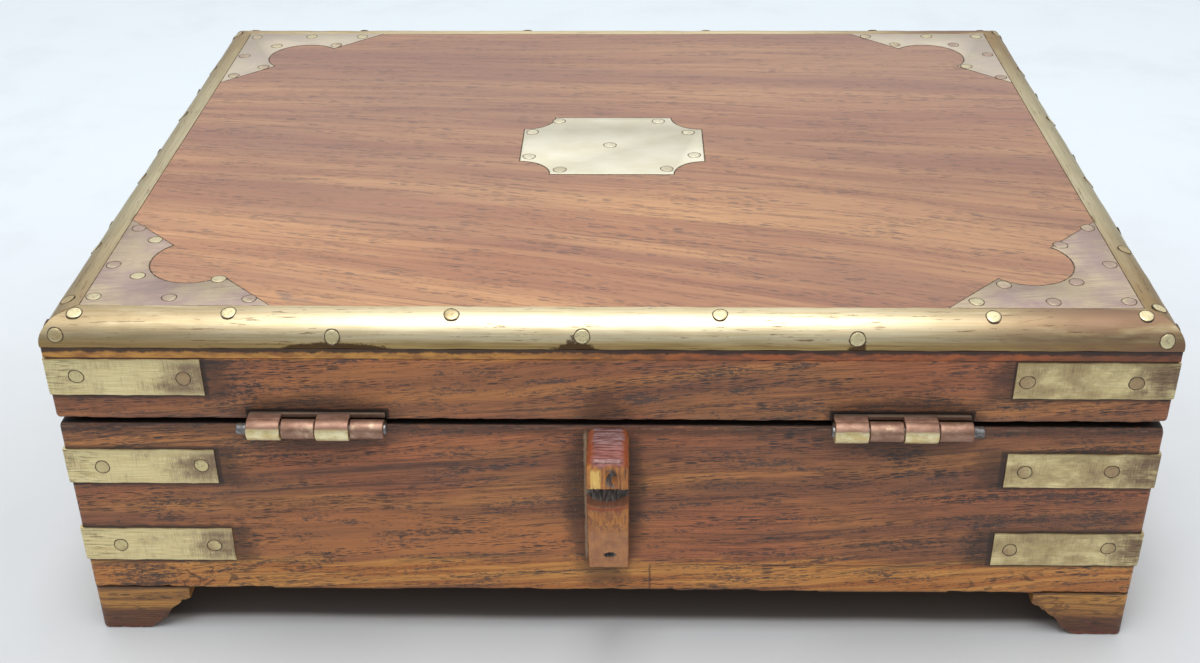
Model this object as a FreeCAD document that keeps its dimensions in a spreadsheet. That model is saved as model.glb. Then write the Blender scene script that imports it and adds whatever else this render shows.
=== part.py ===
"""Brass-bound letter writing box: hinged lid over a compartment, one drawer in the front.

Frame: millimetres, +Z up, origin on the floor under the middle of the box. The drawer's
face looks along -Y, the hinges are on the +Y side, and left and right are those of a
person who faces the drawer: left is -X.
"""
import FreeCAD, Part
import math
import os
from types import SimpleNamespace

import Sketcher
from FreeCAD import Placement, Rotation, Vector

SIZES = {
    # the case
    "box_width": 330.0,
    "box_depth": 254.0,
    "foot_height": 17.0,
    "body_height": 63.8,
    "seam_gap": 0.8,
    "lid_height": 33.8,
    "wall_thickness": 10.0,
    "corner_radius": 1.6,
    "lid_board_thickness": 12.0,
    "bottom_thickness": 6.0,
    "floor_thickness": 5.0,
    "drawer_bay_height": 28.0,
    # bracket feet
    "foot_reach": 30.5,
    "foot_toe": 15.4,
    "foot_lip": 4.2,
    "foot_thickness": 9.0,
    # sheet brass let into the wood
    "inlay_clearance": 0.12,
    "edging_sheet": 0.8,
    "edging_proud": 0.25,
    "edging_radius": 7.8,
    "edging_width": 9.7,
    "edging_drop": 8.8,
    "plate_sheet": 1.0,
    "plate_proud": 0.15,
    "plate_reach": 56.0,
    "plate_bite": 14.6,
    "cartouche_width": 64.5,
    "cartouche_depth": 50.0,
    "cartouche_bite": 11.0,
    "strap_sheet": 1.0,
    "strap_proud": 0.25,
    "strap_bend": 2.0,
    "strap_reach": 47.0,
    "strap_height": 12.5,
    "lid_strap_rise": 8.9,
    "upper_strap_rise": 41.5,
    "lower_strap_rise": 11.6,
    # pins with hammered heads
    "pin_head_radius": 2.1,
    "pin_head_height": 0.35,
    "strap_pin_near": 9.5,
    "strap_pin_far": 41.4,
    "plate_pin_edge": 3.4,
    "plate_pin_middle": 25.5,
    "plate_pin_tip": 50.0,
    "plate_pin_root": 14.5,
    "plate_pin_cusp_far": 38.4,
    "plate_pin_cusp_near": 14.0,
    "cartouche_pin_inset": 2.9,
    "cartouche_pin_horn": 2.8,
    # hinges
    "hinge_spacing": 176.0,
    "hinge_length": 41.0,
    "knuckle_gap": 0.3,
    "barrel_clearance": 0.3,
    "hinge_pin_radius": 1.7,
    "hinge_pin_clearance": 0.05,
    "hinge_pin_stub": 3.3,
    "hinge_pin_tail": 0.8,
    "lid_knuckle_radius": 3.5,
    "body_knuckle_radius": 3.0,
    "lid_leaf_thickness": 1.6,
    "body_leaf_thickness": 1.2,
    "leaf_reach": 9.0,
    "hinge_screw_inset": 4.5,
    "hinge_screw_spacing": 24.0,
    # block that stops the open lid
    "stop_width": 12.7,
    "stop_depth": 17.0,
    "stop_drop": 1.6,
    "stop_top_fall": 0.7,
    "stop_head_height": 9.9,
    "stop_kerf_depth": 8.0,
    "stop_kerf_height": 2.6,
    "stop_height": 51.4,
    "stop_tail_depth": 14.0,
    "stop_toe_depth": 2.0,
    "stop_shoulder_radius": 2.6,
    # drawer
    "drawer_opening_margin": 3.0,
    "drawer_gap": 0.5,
    "drawer_rest_gap": 0.3,
    "drawer_back_gap": 22.0,
    "drawer_side_thickness": 6.0,
    "drawer_bottom_thickness": 3.0,
    "drawer_bottom_rise": 2.0,
    "drawer_groove_depth": 2.5,
    "drawer_guide_width": 12.0,
    "knob_projection": 17.0,
    "knob_head_radius": 6.0,
    "knob_rim_height": 2.4,
    "knob_chamfer": 1.2,
    "knob_waist_radius": 2.8,
    "knob_waist_height": 3.6,
    "knob_base_radius": 5.6,
    "knob_base_height": 1.4,
    "knob_shank_radius": 2.0,
    "knob_shank_clearance": 0.1,
    # fittings of the upper compartment
    "divider_thickness": 4.0,
    "divider_top_gap": 6.8,
    "pen_tray_depth": 44.0,
    "ink_well_width": 44.0,
}

OVERCUT = 1.0               # how far a cutting block stands out of the wood it cuts
PIN_SIDES = 8               # flats on a hand-made pin head
HALF_ROOT = math.sqrt(0.5)
UPPER_PIN_ANGLE = 80.0      # degrees round the edging's curve from its side to the upper pins
LOWER_PIN_ANGLE = 20.0      # the same for the lower pins
ACROSS_UPPER_PINS = (0.94, 0.67, 0.23)   # shares of half the edging's length, each side
ACROSS_LOWER_PINS = (0.97, 0.46)         # the same; one more pin is in the middle

doc = FreeCAD.newDocument("LetterWritingBox")


class Size:
    """A length that the document works out: its value now and its formula."""

    def __init__(self, value, formula):
        self.value = value
        self.formula = formula

    def _with(self, other, sign, value):
        other_formula = other.formula if isinstance(other, Size) else f"({other})"
        return Size(value, f"({self.formula} {sign} {other_formula})")

    def __add__(self, other):
        return self._with(other, "+", self.value + number(other))

    def __sub__(self, other):
        return self._with(other, "-", self.value - number(other))

    def __mul__(self, other):
        return self._with(other, "*", self.value * number(other))

    def __truediv__(self, other):
        return self._with(other, "/", self.value / number(other))

    def __neg__(self):
        return self * -1

    def __radd__(self, other):
        return self + other

    def __rsub__(self, other):
        return -self + other

    def __rmul__(self, other):
        return self * other


def number(size):
    """The plain value of a Size or of a number."""
    return size.value if isinstance(size, Size) else size


def bind(thing, path, size):
    """Tie one property of a document object to a size."""
    formula = size.formula if isinstance(size, Size) else str(size)
    thing.setExpression(path, formula)


sheet = doc.addObject("Spreadsheet::Sheet", "Sizes")
for row, (alias, amount) in enumerate(SIZES.items(), start=1):
    sheet.set(f"A{row}", alias)
    sheet.set(f"B{row}", str(amount))
    sheet.setAlias(f"B{row}", alias)
doc.recompute()
S = SimpleNamespace(**{alias: Size(amount, f"Sizes.{alias}") for alias, amount in SIZES.items()})

# levels and places that several pieces share
HALF_WIDTH = S.box_width / 2
HALF_DEPTH = S.box_depth / 2
BODY_TOP = S.foot_height + S.body_height
LID_BOTTOM = BODY_TOP + S.seam_gap
LID_TOP = LID_BOTTOM + S.lid_height
RAIL_TOP = LID_TOP - S.lid_board_thickness
BAY_BOTTOM = S.foot_height + S.bottom_thickness
FLOOR_BOTTOM = BAY_BOTTOM + S.drawer_bay_height
FLOOR_TOP = FLOOR_BOTTOM + S.floor_thickness
INNER_WIDTH = S.box_width - 2 * S.wall_thickness
INNER_DEPTH = S.box_depth - 2 * S.wall_thickness
OPENING_WIDTH = S.box_width - 2 * (S.strap_reach + S.drawer_opening_margin)
AXIS_Y = HALF_DEPTH + S.lid_knuckle_radius + S.barrel_clearance
AXIS_Z = BODY_TOP + S.seam_gap / 2
KNUCKLE_PITCH = (S.hinge_length + S.knuckle_gap) / 4
BORE_RADIUS = S.hinge_pin_radius + S.hinge_pin_clearance

# corners in the order of quarter turns: name, sign of x, sign of y
CORNERS = (("front_left", -1, -1), ("front_right", 1, -1), ("back_right", 1, 1), ("back_left", -1, 1))
parts = []


def keep(thing, label):
    """Name a finished sub-part and put it on the list of those written out."""
    thing.Label = label
    parts.append(thing)
    return thing


def place(thing, x, y, z, turn=0.0, axis=Vector(0, 0, 1)):
    """Put a piece at x, y, z, turned by so many degrees about the axis."""
    thing.Placement = Placement(Vector(), Rotation(axis, turn))
    for letter, size in zip("xyz", (x, y, z)):
        bind(thing, f"Placement.Base.{letter}", size)
    return thing


def block(name, corner, size):
    """Rectangular block from its lowest corner and its three sizes."""
    box = doc.addObject("Part::Box", name)
    for side, length in zip(("Length", "Width", "Height"), size):
        bind(box, side, length)
    return place(box, *corner)


def inward(sign, half, near, far):
    """Low end and length of a stretch that lies near..far inside the face at sign * half."""
    low = near - half if sign < 0 else half - far
    return low, far - near


def cut(name, base, tools):
    """The base less all the tools."""
    tool = tools[0]
    if len(tools) > 1:
        tool = doc.addObject("Part::MultiFuse", f"{name}_cutters")
        tool.Shapes = tools
    result = doc.addObject("Part::Cut", name)
    result.Base = base
    result.Tool = tool
    return result


def sketch_on(body, plane, name, offset=None):
    """Empty sketch on one of the body's origin planes, moved along the plane's normal."""
    sketch = body.newObject("Sketcher::SketchObject", name)
    origin_plane = next(f for f in body.Origin.OriginFeatures if f.Role == plane)
    sketch.AttachmentSupport = (origin_plane, "")
    sketch.MapMode = "FlatFace"
    if offset is not None:
        bind(sketch, "AttachmentOffset.Base.z", offset)
    return sketch


def pin_down(sketch, shape, spot, x, y, name, letters="xy"):
    """Fix the start (1), end (2) or centre (3) of a line or arc at x, y, or at one of them."""
    for letter, kind, axis, size in (("x", "DistanceX", -2, x), ("y", "DistanceY", -1, y)):
        if letter not in letters:
            continue
        if number(size) == 0:
            sketch.addConstraint(Sketcher.Constraint("PointOnObject", shape, spot, axis))
            continue
        index = sketch.addConstraint(Sketcher.Constraint(kind, -1, 1, shape, spot, number(size)))
        sketch.renameConstraint(index, f"{letter}_{name}")
        bind(sketch, f"Constraints.{letter}_{name}", size)


def outline(sketch, corners, arcs=None, name="p"):
    """Closed outline through the corners.

    arcs maps the number of a side to (centre x, centre y, radius, turn), where turn is
    1 for an arc that runs anticlockwise along the outline and -1 for clockwise.
    """
    arcs = arcs or {}
    points = [Vector(number(x), number(y), 0) for x, y in corners]
    sides = []
    for i, start in enumerate(points):
        end = points[(i + 1) % len(points)]
        if i not in arcs:
            sides.append((sketch.addGeometry(Part.LineSegment(start, end), False), 1, 2))
            continue
        centre_x, centre_y, radius, turn = arcs[i]
        centre = Vector(number(centre_x), number(centre_y), 0)
        first, last = (start, end) if turn > 0 else (end, start)
        angles = [math.atan2(p.y - centre.y, p.x - centre.x) for p in (first, last)]
        circle = Part.Circle(centre, Vector(0, 0, 1), number(radius))
        shape = sketch.addGeometry(Part.ArcOfCircle(circle, *angles), False)
        sides.append((shape, 1, 2) if turn > 0 else (shape, 2, 1))
    for i, (shape, _, end) in enumerate(sides):
        after, start, _ = sides[(i + 1) % len(sides)]
        sketch.addConstraint(Sketcher.Constraint("Coincident", shape, end, after, start))
    for i, (x, y) in enumerate(corners):
        shape, start, _ = sides[i]
        pin_down(sketch, shape, start, x, y, f"{name}{i}")
    for i, (centre_x, centre_y, _, _) in arcs.items():
        chord = points[(i + 1) % len(points)] - points[i]
        steep = abs(chord.y) >= abs(chord.x)
        pin_down(sketch, sides[i][0], 3, centre_x, centre_y, f"{name}{i}_centre", "x" if steep else "y")


def ring(sketch, radii):
    """Circles of the given radii about the sketch's origin."""
    for i, radius in enumerate(radii):
        shape = sketch.addGeometry(Part.Circle(Vector(), Vector(0, 0, 1), number(radius)), False)
        sketch.addConstraint(Sketcher.Constraint("Coincident", shape, 3, -1, 1))
        index = sketch.addConstraint(Sketcher.Constraint("Radius", shape, number(radius)))
        sketch.renameConstraint(index, f"r_ring{i}")
        bind(sketch, f"Constraints.r_ring{i}", radius)


def pad(body, sketch, length, both_ways=False, backwards=False):
    """Raise a sketch by the length."""
    feature = body.newObject("PartDesign::Pad", f"{sketch.Name}_pad")
    feature.Profile = sketch
    bind(feature, "Length", length)
    feature.SideType = "Symmetric" if both_ways else "One side"
    feature.Reversed = backwards
    return feature


def pocket_through(body, sketch):
    """Cut a sketch right through the body, both ways."""
    feature = body.newObject("PartDesign::Pocket", f"{sketch.Name}_pocket")
    feature.Profile = sketch
    feature.Type = "ThroughAll"
    feature.SideType = "Symmetric"
    return feature


def new_body(name):
    """Empty PartDesign body."""
    return doc.addObject("PartDesign::Body", name)


# ---------------------------------------------------------------- boards of the case

def long_board(name, sign, low, height):
    """Front or back board: full width, with its two outer upright edges rounded."""
    body = new_body(name)
    sketch = sketch_on(body, "XY_Plane", f"{name}_plan")
    r = S.corner_radius
    corners = [(r - HALF_WIDTH, 0), (HALF_WIDTH - r, 0), (HALF_WIDTH, r),
               (HALF_WIDTH, S.wall_thickness), (-HALF_WIDTH, S.wall_thickness), (-HALF_WIDTH, r)]
    arcs = {1: (HALF_WIDTH - r, r, r, 1), 5: (r - HALF_WIDTH, r, r, 1)}
    outline(sketch, corners, arcs)
    pad(body, sketch, height)
    return place(body, 0, sign * HALF_DEPTH, low, 0 if sign < 0 else 180)


def side_board(name, sign, low, height):
    """Left or right board, between the front and back boards."""
    x, thickness = inward(sign, HALF_WIDTH, 0, S.wall_thickness)
    return block(name, (x, S.wall_thickness - HALF_DEPTH, low), (thickness, INNER_DEPTH, height))


def strap_seat(name, sign_x, sign_y, low):
    """Blocks that cut the shallow bed of one corner strap.

    One slab lies along each face, and a post frees the wood's corner inside the strap's bend.
    """
    depth = S.strap_sheet - S.strap_proud
    bend = S.strap_bend - S.strap_proud
    reach = S.strap_reach + S.inlay_clearance
    blocks = []
    for kind, far_x, far_y in (("face", reach, depth), ("end", depth, reach), ("post", bend, bend)):
        x, length = inward(sign_x, HALF_WIDTH, -OVERCUT, far_x)
        y, width = inward(sign_y, HALF_DEPTH, -OVERCUT, far_y)
        corner = (x, y, low - S.inlay_clearance)
        size = (length, width, S.strap_height + 2 * S.inlay_clearance)
        blocks.append(block(f"{name}_{kind}_bed", corner, size))
    return blocks


STRAP_LOWS = {
    "lid": LID_BOTTOM + S.lid_strap_rise,
    "upper": S.foot_height + S.upper_strap_rise,
    "lower": S.foot_height + S.lower_strap_rise,
}
strap_seats = {(level, corner): strap_seat(f"{level}_{corner}", sign_x, sign_y, low)
               for level, low in STRAP_LOWS.items() for corner, sign_x, sign_y in CORNERS}


def seats_of(levels, side):
    """The strap beds that reach one side of the case, such as "front" or "left"."""
    return [bed for (level, corner), beds in strap_seats.items()
            if level in levels and side in corner.split("_") for bed in beds]


def hinge_bed(name, x, low, height):
    """Block that cuts the bed of one hinge leaf out of a back board's edge."""
    length = S.hinge_length + 2 * S.inlay_clearance
    y, reach = inward(1, HALF_DEPTH, -OVERCUT, S.leaf_reach + S.inlay_clearance)
    return block(name, (x - length / 2, y, low), (length, reach, height))


HINGES = (("left", -1, -S.hinge_spacing / 2), ("right", 1, S.hinge_spacing / 2))
LID_LEAF_TOP = AXIS_Z + S.lid_knuckle_radius
lid_beds = [hinge_bed(f"lid_leaf_bed_{side}", x, LID_BOTTOM - OVERCUT, LID_LEAF_TOP - LID_BOTTOM + OVERCUT)
            for side, _, x in HINGES]
body_beds = [hinge_bed(f"body_leaf_bed_{side}", x, BODY_TOP - S.body_leaf_thickness,
                       S.body_leaf_thickness + OVERCUT) for side, _, x in HINGES]

opening = block("drawer_opening",
                (-OPENING_WIDTH / 2, -HALF_DEPTH - OVERCUT, BAY_BOTTOM),
                (OPENING_WIDTH, S.wall_thickness + 2 * OVERCUT, S.drawer_bay_height))

front = long_board("body_front_board_blank", -1, S.foot_height, S.body_height)
back = long_board("body_back_board_blank", 1, S.foot_height, S.body_height)
keep(cut("front_board", front, seats_of(("upper", "lower"), "front") + [opening]), "body_front_board")
keep(cut("back_board", back, seats_of(("upper", "lower"), "back") + body_beds), "body_back_board")
for side, sign in (("left", -1), ("right", 1)):
    blank = side_board(f"body_{side}_blank", sign, S.foot_height, S.body_height)
    keep(cut(f"{side}_board", blank, seats_of(("upper", "lower"), side)), f"body_{side}_board")

RAIL_HEIGHT = RAIL_TOP - LID_BOTTOM
front = long_board("lid_front_rail_blank", -1, LID_BOTTOM, RAIL_HEIGHT)
back = long_board("lid_back_rail_blank", 1, LID_BOTTOM, RAIL_HEIGHT)
keep(cut("front_rail", front, seats_of(("lid",), "front")), "lid_front_rail")
keep(cut("back_rail", back, seats_of(("lid",), "back") + lid_beds), "lid_back_rail")
for side, sign in (("left", -1), ("right", 1)):
    blank = side_board(f"lid_{side}_blank", sign, LID_BOTTOM, RAIL_HEIGHT)
    keep(cut(f"{side}_rail", blank, seats_of(("lid",), side)), f"lid_{side}_rail")

# ---------------------------------------------------------------- inside of the case

inner_low = (-INNER_WIDTH / 2, -INNER_DEPTH / 2)
keep(block("bottom", (*inner_low, S.foot_height), (INNER_WIDTH, INNER_DEPTH, S.bottom_thickness)),
     "body_bottom_board")
keep(block("floor", (*inner_low, FLOOR_BOTTOM), (INNER_WIDTH, INNER_DEPTH, S.floor_thickness)),
     "compartment_floor")
for side, sign in (("left", -1), ("right", 1)):
    x, width = inward(sign, OPENING_WIDTH / 2, -S.drawer_guide_width, 0)
    keep(block(f"guide_{side}", (x, -INNER_DEPTH / 2, BAY_BOTTOM),
               (width, INNER_DEPTH, S.drawer_bay_height)), f"drawer_guide_{side}")

TRAY_LOW = -INNER_DEPTH / 2
DIVIDER_HEIGHT = BODY_TOP - S.divider_top_gap - FLOOR_TOP
keep(block("tray", (-INNER_WIDTH / 2, TRAY_LOW + S.pen_tray_depth, FLOOR_TOP),
           (INNER_WIDTH, S.divider_thickness, DIVIDER_HEIGHT)), "pen_tray_divider")
for side, sign in (("left", -1), ("right", 1)):
    x, width = inward(sign, INNER_WIDTH / 2, S.ink_well_width, S.ink_well_width + S.divider_thickness)
    keep(block(f"ink_{side}", (x, TRAY_LOW, FLOOR_TOP), (width, S.pen_tray_depth, DIVIDER_HEIGHT)),
         f"ink_well_divider_{side}")

# ---------------------------------------------------------------- top board of the lid

EDGING_STEP = S.edging_sheet - S.edging_proud
PLATE_STEP = S.plate_sheet - S.plate_proud
FIELD_HALF_WIDTH = HALF_WIDTH - S.edging_width - S.inlay_clearance
FIELD_HALF_DEPTH = HALF_DEPTH - S.edging_width - S.inlay_clearance


def rectangle(body, name, half_width, half_depth, low):
    """Sketch of a rectangle about the middle, at a level."""
    sketch = sketch_on(body, "XY_Plane", name, low)
    outline(sketch, [(-half_width, -half_depth), (half_width, -half_depth),
                     (half_width, half_depth), (-half_width, half_depth)])
    return sketch


def top_board():
    """Lid board: a plain edge below, a rounded and rebated one under the brass, a flat field."""
    body = new_body("lid_board_blank")
    rebate_low = LID_TOP - S.edging_drop
    rebate_top = LID_TOP - EDGING_STEP
    pad(body, rectangle(body, "board_edge", HALF_WIDTH, HALF_DEPTH, RAIL_TOP), rebate_low - RAIL_TOP)
    under_brass = rectangle(body, "board_under_brass", HALF_WIDTH - EDGING_STEP,
                            HALF_DEPTH - EDGING_STEP, rebate_low)
    bed = pad(body, under_brass, rebate_top - rebate_low)
    doc.recompute()
    level = rebate_top.value
    rims = [f"Edge{i}" for i, edge in enumerate(bed.Shape.Edges, start=1)
            if all(abs(vertex.Z - level) < 1e-6 for vertex in edge.Vertexes)]
    rounding = body.newObject("PartDesign::Fillet", "board_rounding")
    rounding.Base = (bed, rims)
    bind(rounding, "Radius", S.edging_radius - S.edging_sheet)
    pad(body, rectangle(body, "board_field", FIELD_HALF_WIDTH, FIELD_HALF_DEPTH, rebate_top), EDGING_STEP)
    return body


def plate_outline(sketch, reach, bite, margin=0):
    """Right-angled corner plate: a semicircle is bitten out of the middle of its long side."""
    near = reach / 2 - bite * HALF_ROOT
    far = reach / 2 + bite * HALF_ROOT
    corners = [(-margin, -margin), (reach + margin, -margin), (far, near), (near, far),
               (-margin, reach + margin)]
    outline(sketch, corners, {2: (reach / 2, reach / 2, bite, -1)})


def cartouche_outline(sketch, width, depth, bite):
    """Rectangle with a quarter circle bitten out of each corner."""
    w, d = width / 2, depth / 2
    corners = [(bite - w, -d), (w - bite, -d), (w, bite - d), (w, d - bite),
               (w - bite, d), (bite - w, d), (-w, d - bite), (-w, bite - d)]
    arcs = {1: (w, -d, bite, -1), 3: (w, d, bite, -1), 5: (-w, d, bite, -1), 7: (-w, -d, bite, -1)}
    outline(sketch, corners, arcs)


def flat_piece(name, draw, thickness):
    """Body of one flat piece: draw fills its sketch, and it rises by the thickness."""
    body = new_body(name)
    sketch = sketch_on(body, "XY_Plane", f"{name}_outline")
    draw(sketch)
    pad(body, sketch, thickness)
    return body


def plate_corner(sign_x, sign_y):
    """Where a corner plate's right angle lies: against the inner edge of the edging."""
    return sign_x * FIELD_HALF_WIDTH, sign_y * FIELD_HALF_DEPTH


clear = S.inlay_clearance
board_tools = []
for turn, (corner, sign_x, sign_y) in enumerate(CORNERS):
    x, y = plate_corner(sign_x, sign_y)
    bed = flat_piece(f"plate_bed_{corner}",
                     lambda sketch: plate_outline(sketch, S.plate_reach + 2 * clear,
                                                  S.plate_bite - clear, clear),
                     PLATE_STEP + OVERCUT)
    board_tools.append(place(bed, x, y, LID_TOP - PLATE_STEP, 90 * turn))
    plate = flat_piece(f"plate_{corner}",
                       lambda sketch: plate_outline(sketch, S.plate_reach, S.plate_bite),
                       S.plate_sheet)
    keep(place(plate, x, y, LID_TOP - PLATE_STEP, 90 * turn), f"corner_plate_{corner}")

bed = flat_piece("cartouche_bed",
                 lambda sketch: cartouche_outline(sketch, S.cartouche_width + 2 * clear,
                                                  S.cartouche_depth + 2 * clear, S.cartouche_bite),
                 PLATE_STEP + OVERCUT)
board_tools.append(place(bed, 0, 0, LID_TOP - PLATE_STEP))
plate = flat_piece("cartouche",
                   lambda sketch: cartouche_outline(sketch, S.cartouche_width, S.cartouche_depth,
                                                    S.cartouche_bite),
                   S.plate_sheet)
keep(place(plate, 0, 0, LID_TOP - PLATE_STEP), "cartouche_plate")
keep(cut("top_board", top_board(), board_tools), "lid_top_board")

# ---------------------------------------------------------------- brass edging of the lid

def edging(name, span):
    """Quarter-round strip along one top edge, mitred at both ends.

    It is drawn for the front edge: y runs inward from the wood's face, z up from the lid's top.
    """
    body = new_body(name)
    profile = sketch_on(body, "YZ_Plane", f"{name}_profile")
    outside, inside = S.edging_radius, S.edging_radius - S.edging_sheet
    centre_y = S.edging_radius - S.edging_proud
    centre_z = S.edging_proud - S.edging_radius
    corners = [(-S.edging_proud, -S.edging_drop), (-S.edging_proud, centre_z),
               (centre_y, S.edging_proud), (S.edging_width, S.edging_proud),
               (S.edging_width, -EDGING_STEP), (centre_y, -EDGING_STEP),
               (EDGING_STEP, centre_z), (EDGING_STEP, -S.edging_drop)]
    outline(profile, corners, {1: (centre_y, centre_z, outside, -1), 5: (centre_y, centre_z, inside, 1)})
    pad(body, profile, span + 2 * S.edging_proud, both_ways=True)
    mitres = sketch_on(body, "XY_Plane", f"{name}_mitres")
    end = span / 2 + S.edging_proud
    deep = S.edging_width + OVERCUT
    slant = deep + S.edging_proud
    for label, sign in (("low", -1), ("high", 1)):
        triangle = [(sign * end, -S.edging_proud), (sign * (end + OVERCUT), -S.edging_proud),
                    (sign * (end + OVERCUT), deep), (sign * (end - slant), deep)]
        outline(mitres, triangle, name=label)
    pocket_through(body, mitres)
    return body


for turn, (side, x, y, span) in enumerate((("front", 0, -HALF_DEPTH, S.box_width),
                                           ("right", HALF_WIDTH, 0, S.box_depth),
                                           ("back", 0, HALF_DEPTH, S.box_width),
                                           ("left", -HALF_WIDTH, 0, S.box_depth))):
    keep(place(edging(f"edging_{side}", span), x, y, LID_TOP, 90 * turn), f"lid_edging_{side}")

# ---------------------------------------------------------------- corner straps

def strap(name):
    """Angle of sheet brass bent round an upright corner; its local origin is the wood's corner."""
    body = new_body(name)
    sketch = sketch_on(body, "XY_Plane", f"{name}_plan")
    proud, thick = S.strap_proud, S.strap_sheet
    bend = S.strap_bend - proud
    inner = thick - proud
    corners = [(S.strap_reach, -proud), (bend, -proud), (-proud, bend), (-proud, S.strap_reach),
               (inner, S.strap_reach), (inner, bend), (bend, inner), (S.strap_reach, inner)]
    outline(sketch, corners, {1: (bend, bend, S.strap_bend, -1),
                              5: (bend, bend, S.strap_bend - thick, 1)})
    pad(body, sketch, S.strap_height)
    return body


for level, low in STRAP_LOWS.items():
    owner = "lid_strap" if level == "lid" else f"body_{level}_strap"
    for turn, (corner, sign_x, sign_y) in enumerate(CORNERS):
        angle = strap(f"strap_{level}_{corner}")
        keep(place(angle, sign_x * HALF_WIDTH, sign_y * HALF_DEPTH, low, 90 * turn), f"{owner}_{corner}")

# ---------------------------------------------------------------- bracket feet

def bracket(name):
    """One board of a bracket foot, mitred at the corner, running along x from the origin."""
    body = new_body(name)
    face = sketch_on(body, "XZ_Plane", f"{name}_face")
    outline(face, [(0, 0), (S.foot_toe, 0), (S.foot_reach, S.foot_height - S.foot_lip),
                   (S.foot_reach, S.foot_height), (0, S.foot_height)])
    pad(body, face, S.foot_thickness, backwards=True)
    mitre = sketch_on(body, "XY_Plane", f"{name}_mitre")
    deep = S.foot_thickness + OVERCUT
    outline(mitre, [(0, 0), (deep, deep), (-OVERCUT, deep), (-OVERCUT, 0)])
    pocket_through(body, mitre)
    return body


for turn, (corner, sign_x, sign_y) in enumerate(CORNERS):
    along_x = bracket(f"bracket_{corner}")
    along_y = doc.addObject("Part::Mirroring", f"bracket_twin_{corner}")
    along_y.Source = along_x
    along_y.Normal = Vector(1, -1, 0)
    foot = doc.addObject("Part::Compound", f"foot_pair_{corner}")
    foot.Links = [along_x, along_y]
    keep(place(foot, sign_x * HALF_WIDTH, sign_y * HALF_DEPTH, 0, 90 * turn), f"foot_{corner}")

# ---------------------------------------------------------------- hinges

def hinge_leaf(name, knuckle_radius, other_radius, low, thickness, first, tongue):
    """Leaf with two of the four knuckles; its local origin is on the pin, at mid length.

    first is the number of its first knuckle from the -x end. The leaf reaches to tongue at
    its own knuckles and stands clear of the other leaf's.
    """
    body = new_body(name)
    length = KNUCKLE_PITCH - S.knuckle_gap
    start = first * KNUCKLE_PITCH - S.hinge_length / 2
    barrel = sketch_on(body, "YZ_Plane", f"{name}_barrel", start)
    ring(barrel, (knuckle_radius, S.hinge_pin_radius + S.hinge_pin_clearance))
    knuckle = pad(body, barrel, length)
    pair = body.newObject("PartDesign::LinearPattern", f"{name}_knuckles")
    pair.Originals = [knuckle]
    pair.Direction = (barrel, ["N_Axis"])
    pair.Occurrences = 2
    bind(pair, "Length", 2 * KNUCKLE_PITCH)
    body.Tip = pair
    plan = sketch_on(body, "XY_Plane", f"{name}_plan", low)
    inner = HALF_DEPTH - S.leaf_reach - AXIS_Y
    clear_of_other = -(other_radius + S.barrel_clearance)
    half = S.hinge_length / 2
    second = start + 2 * KNUCKLE_PITCH
    fingers = [(start, clear_of_other), (start, tongue), (start + length, tongue),
               (start + length, clear_of_other), (second, clear_of_other), (second, tongue),
               (second + length, tongue), (second + length, clear_of_other)]
    rim = fingers[1:] + [(half, clear_of_other)] if first == 0 else [(-half, clear_of_other)] + fingers[:-1]
    outline(plan, [(half, inner), (-half, inner)] + rim)
    pad(body, plan, thickness)
    return body


BODY_LEAF_LOW = BODY_TOP - S.body_leaf_thickness - AXIS_Z
body_tongue = -(S.body_knuckle_radius + S.hinge_pin_radius + S.hinge_pin_clearance) / 2
pins = []
for side, sign, x in HINGES:
    leaf = hinge_leaf(f"lid_leaf_{side}", S.lid_knuckle_radius, S.body_knuckle_radius,
                      S.lid_knuckle_radius - S.lid_leaf_thickness, S.lid_leaf_thickness, 1, 0)
    keep(place(leaf, x, AXIS_Y, AXIS_Z), f"hinge_lid_leaf_{side}")
    leaf = hinge_leaf(f"body_leaf_{side}", S.body_knuckle_radius, S.lid_knuckle_radius,
                      BODY_LEAF_LOW, S.body_leaf_thickness, 0, body_tongue)
    keep(place(leaf, x, AXIS_Y, AXIS_Z), f"hinge_body_leaf_{side}")
    pin = doc.addObject("Part::Cylinder", f"hinge_pin_{side}")
    bind(pin, "Radius", S.hinge_pin_radius)
    bind(pin, "Height", S.hinge_length + S.hinge_pin_stub + S.hinge_pin_tail)
    low_end = S.hinge_pin_stub if sign < 0 else S.hinge_pin_tail
    place(pin, x - S.hinge_length / 2 - low_end, AXIS_Y, AXIS_Z, 90, Vector(0, 1, 0))
    pins.append(pin)
hinge_pins = doc.addObject("Part::Compound", "both_hinge_pins")
hinge_pins.Links = pins
keep(hinge_pins, "hinge_pins")

# ---------------------------------------------------------------- block that stops the lid

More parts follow.
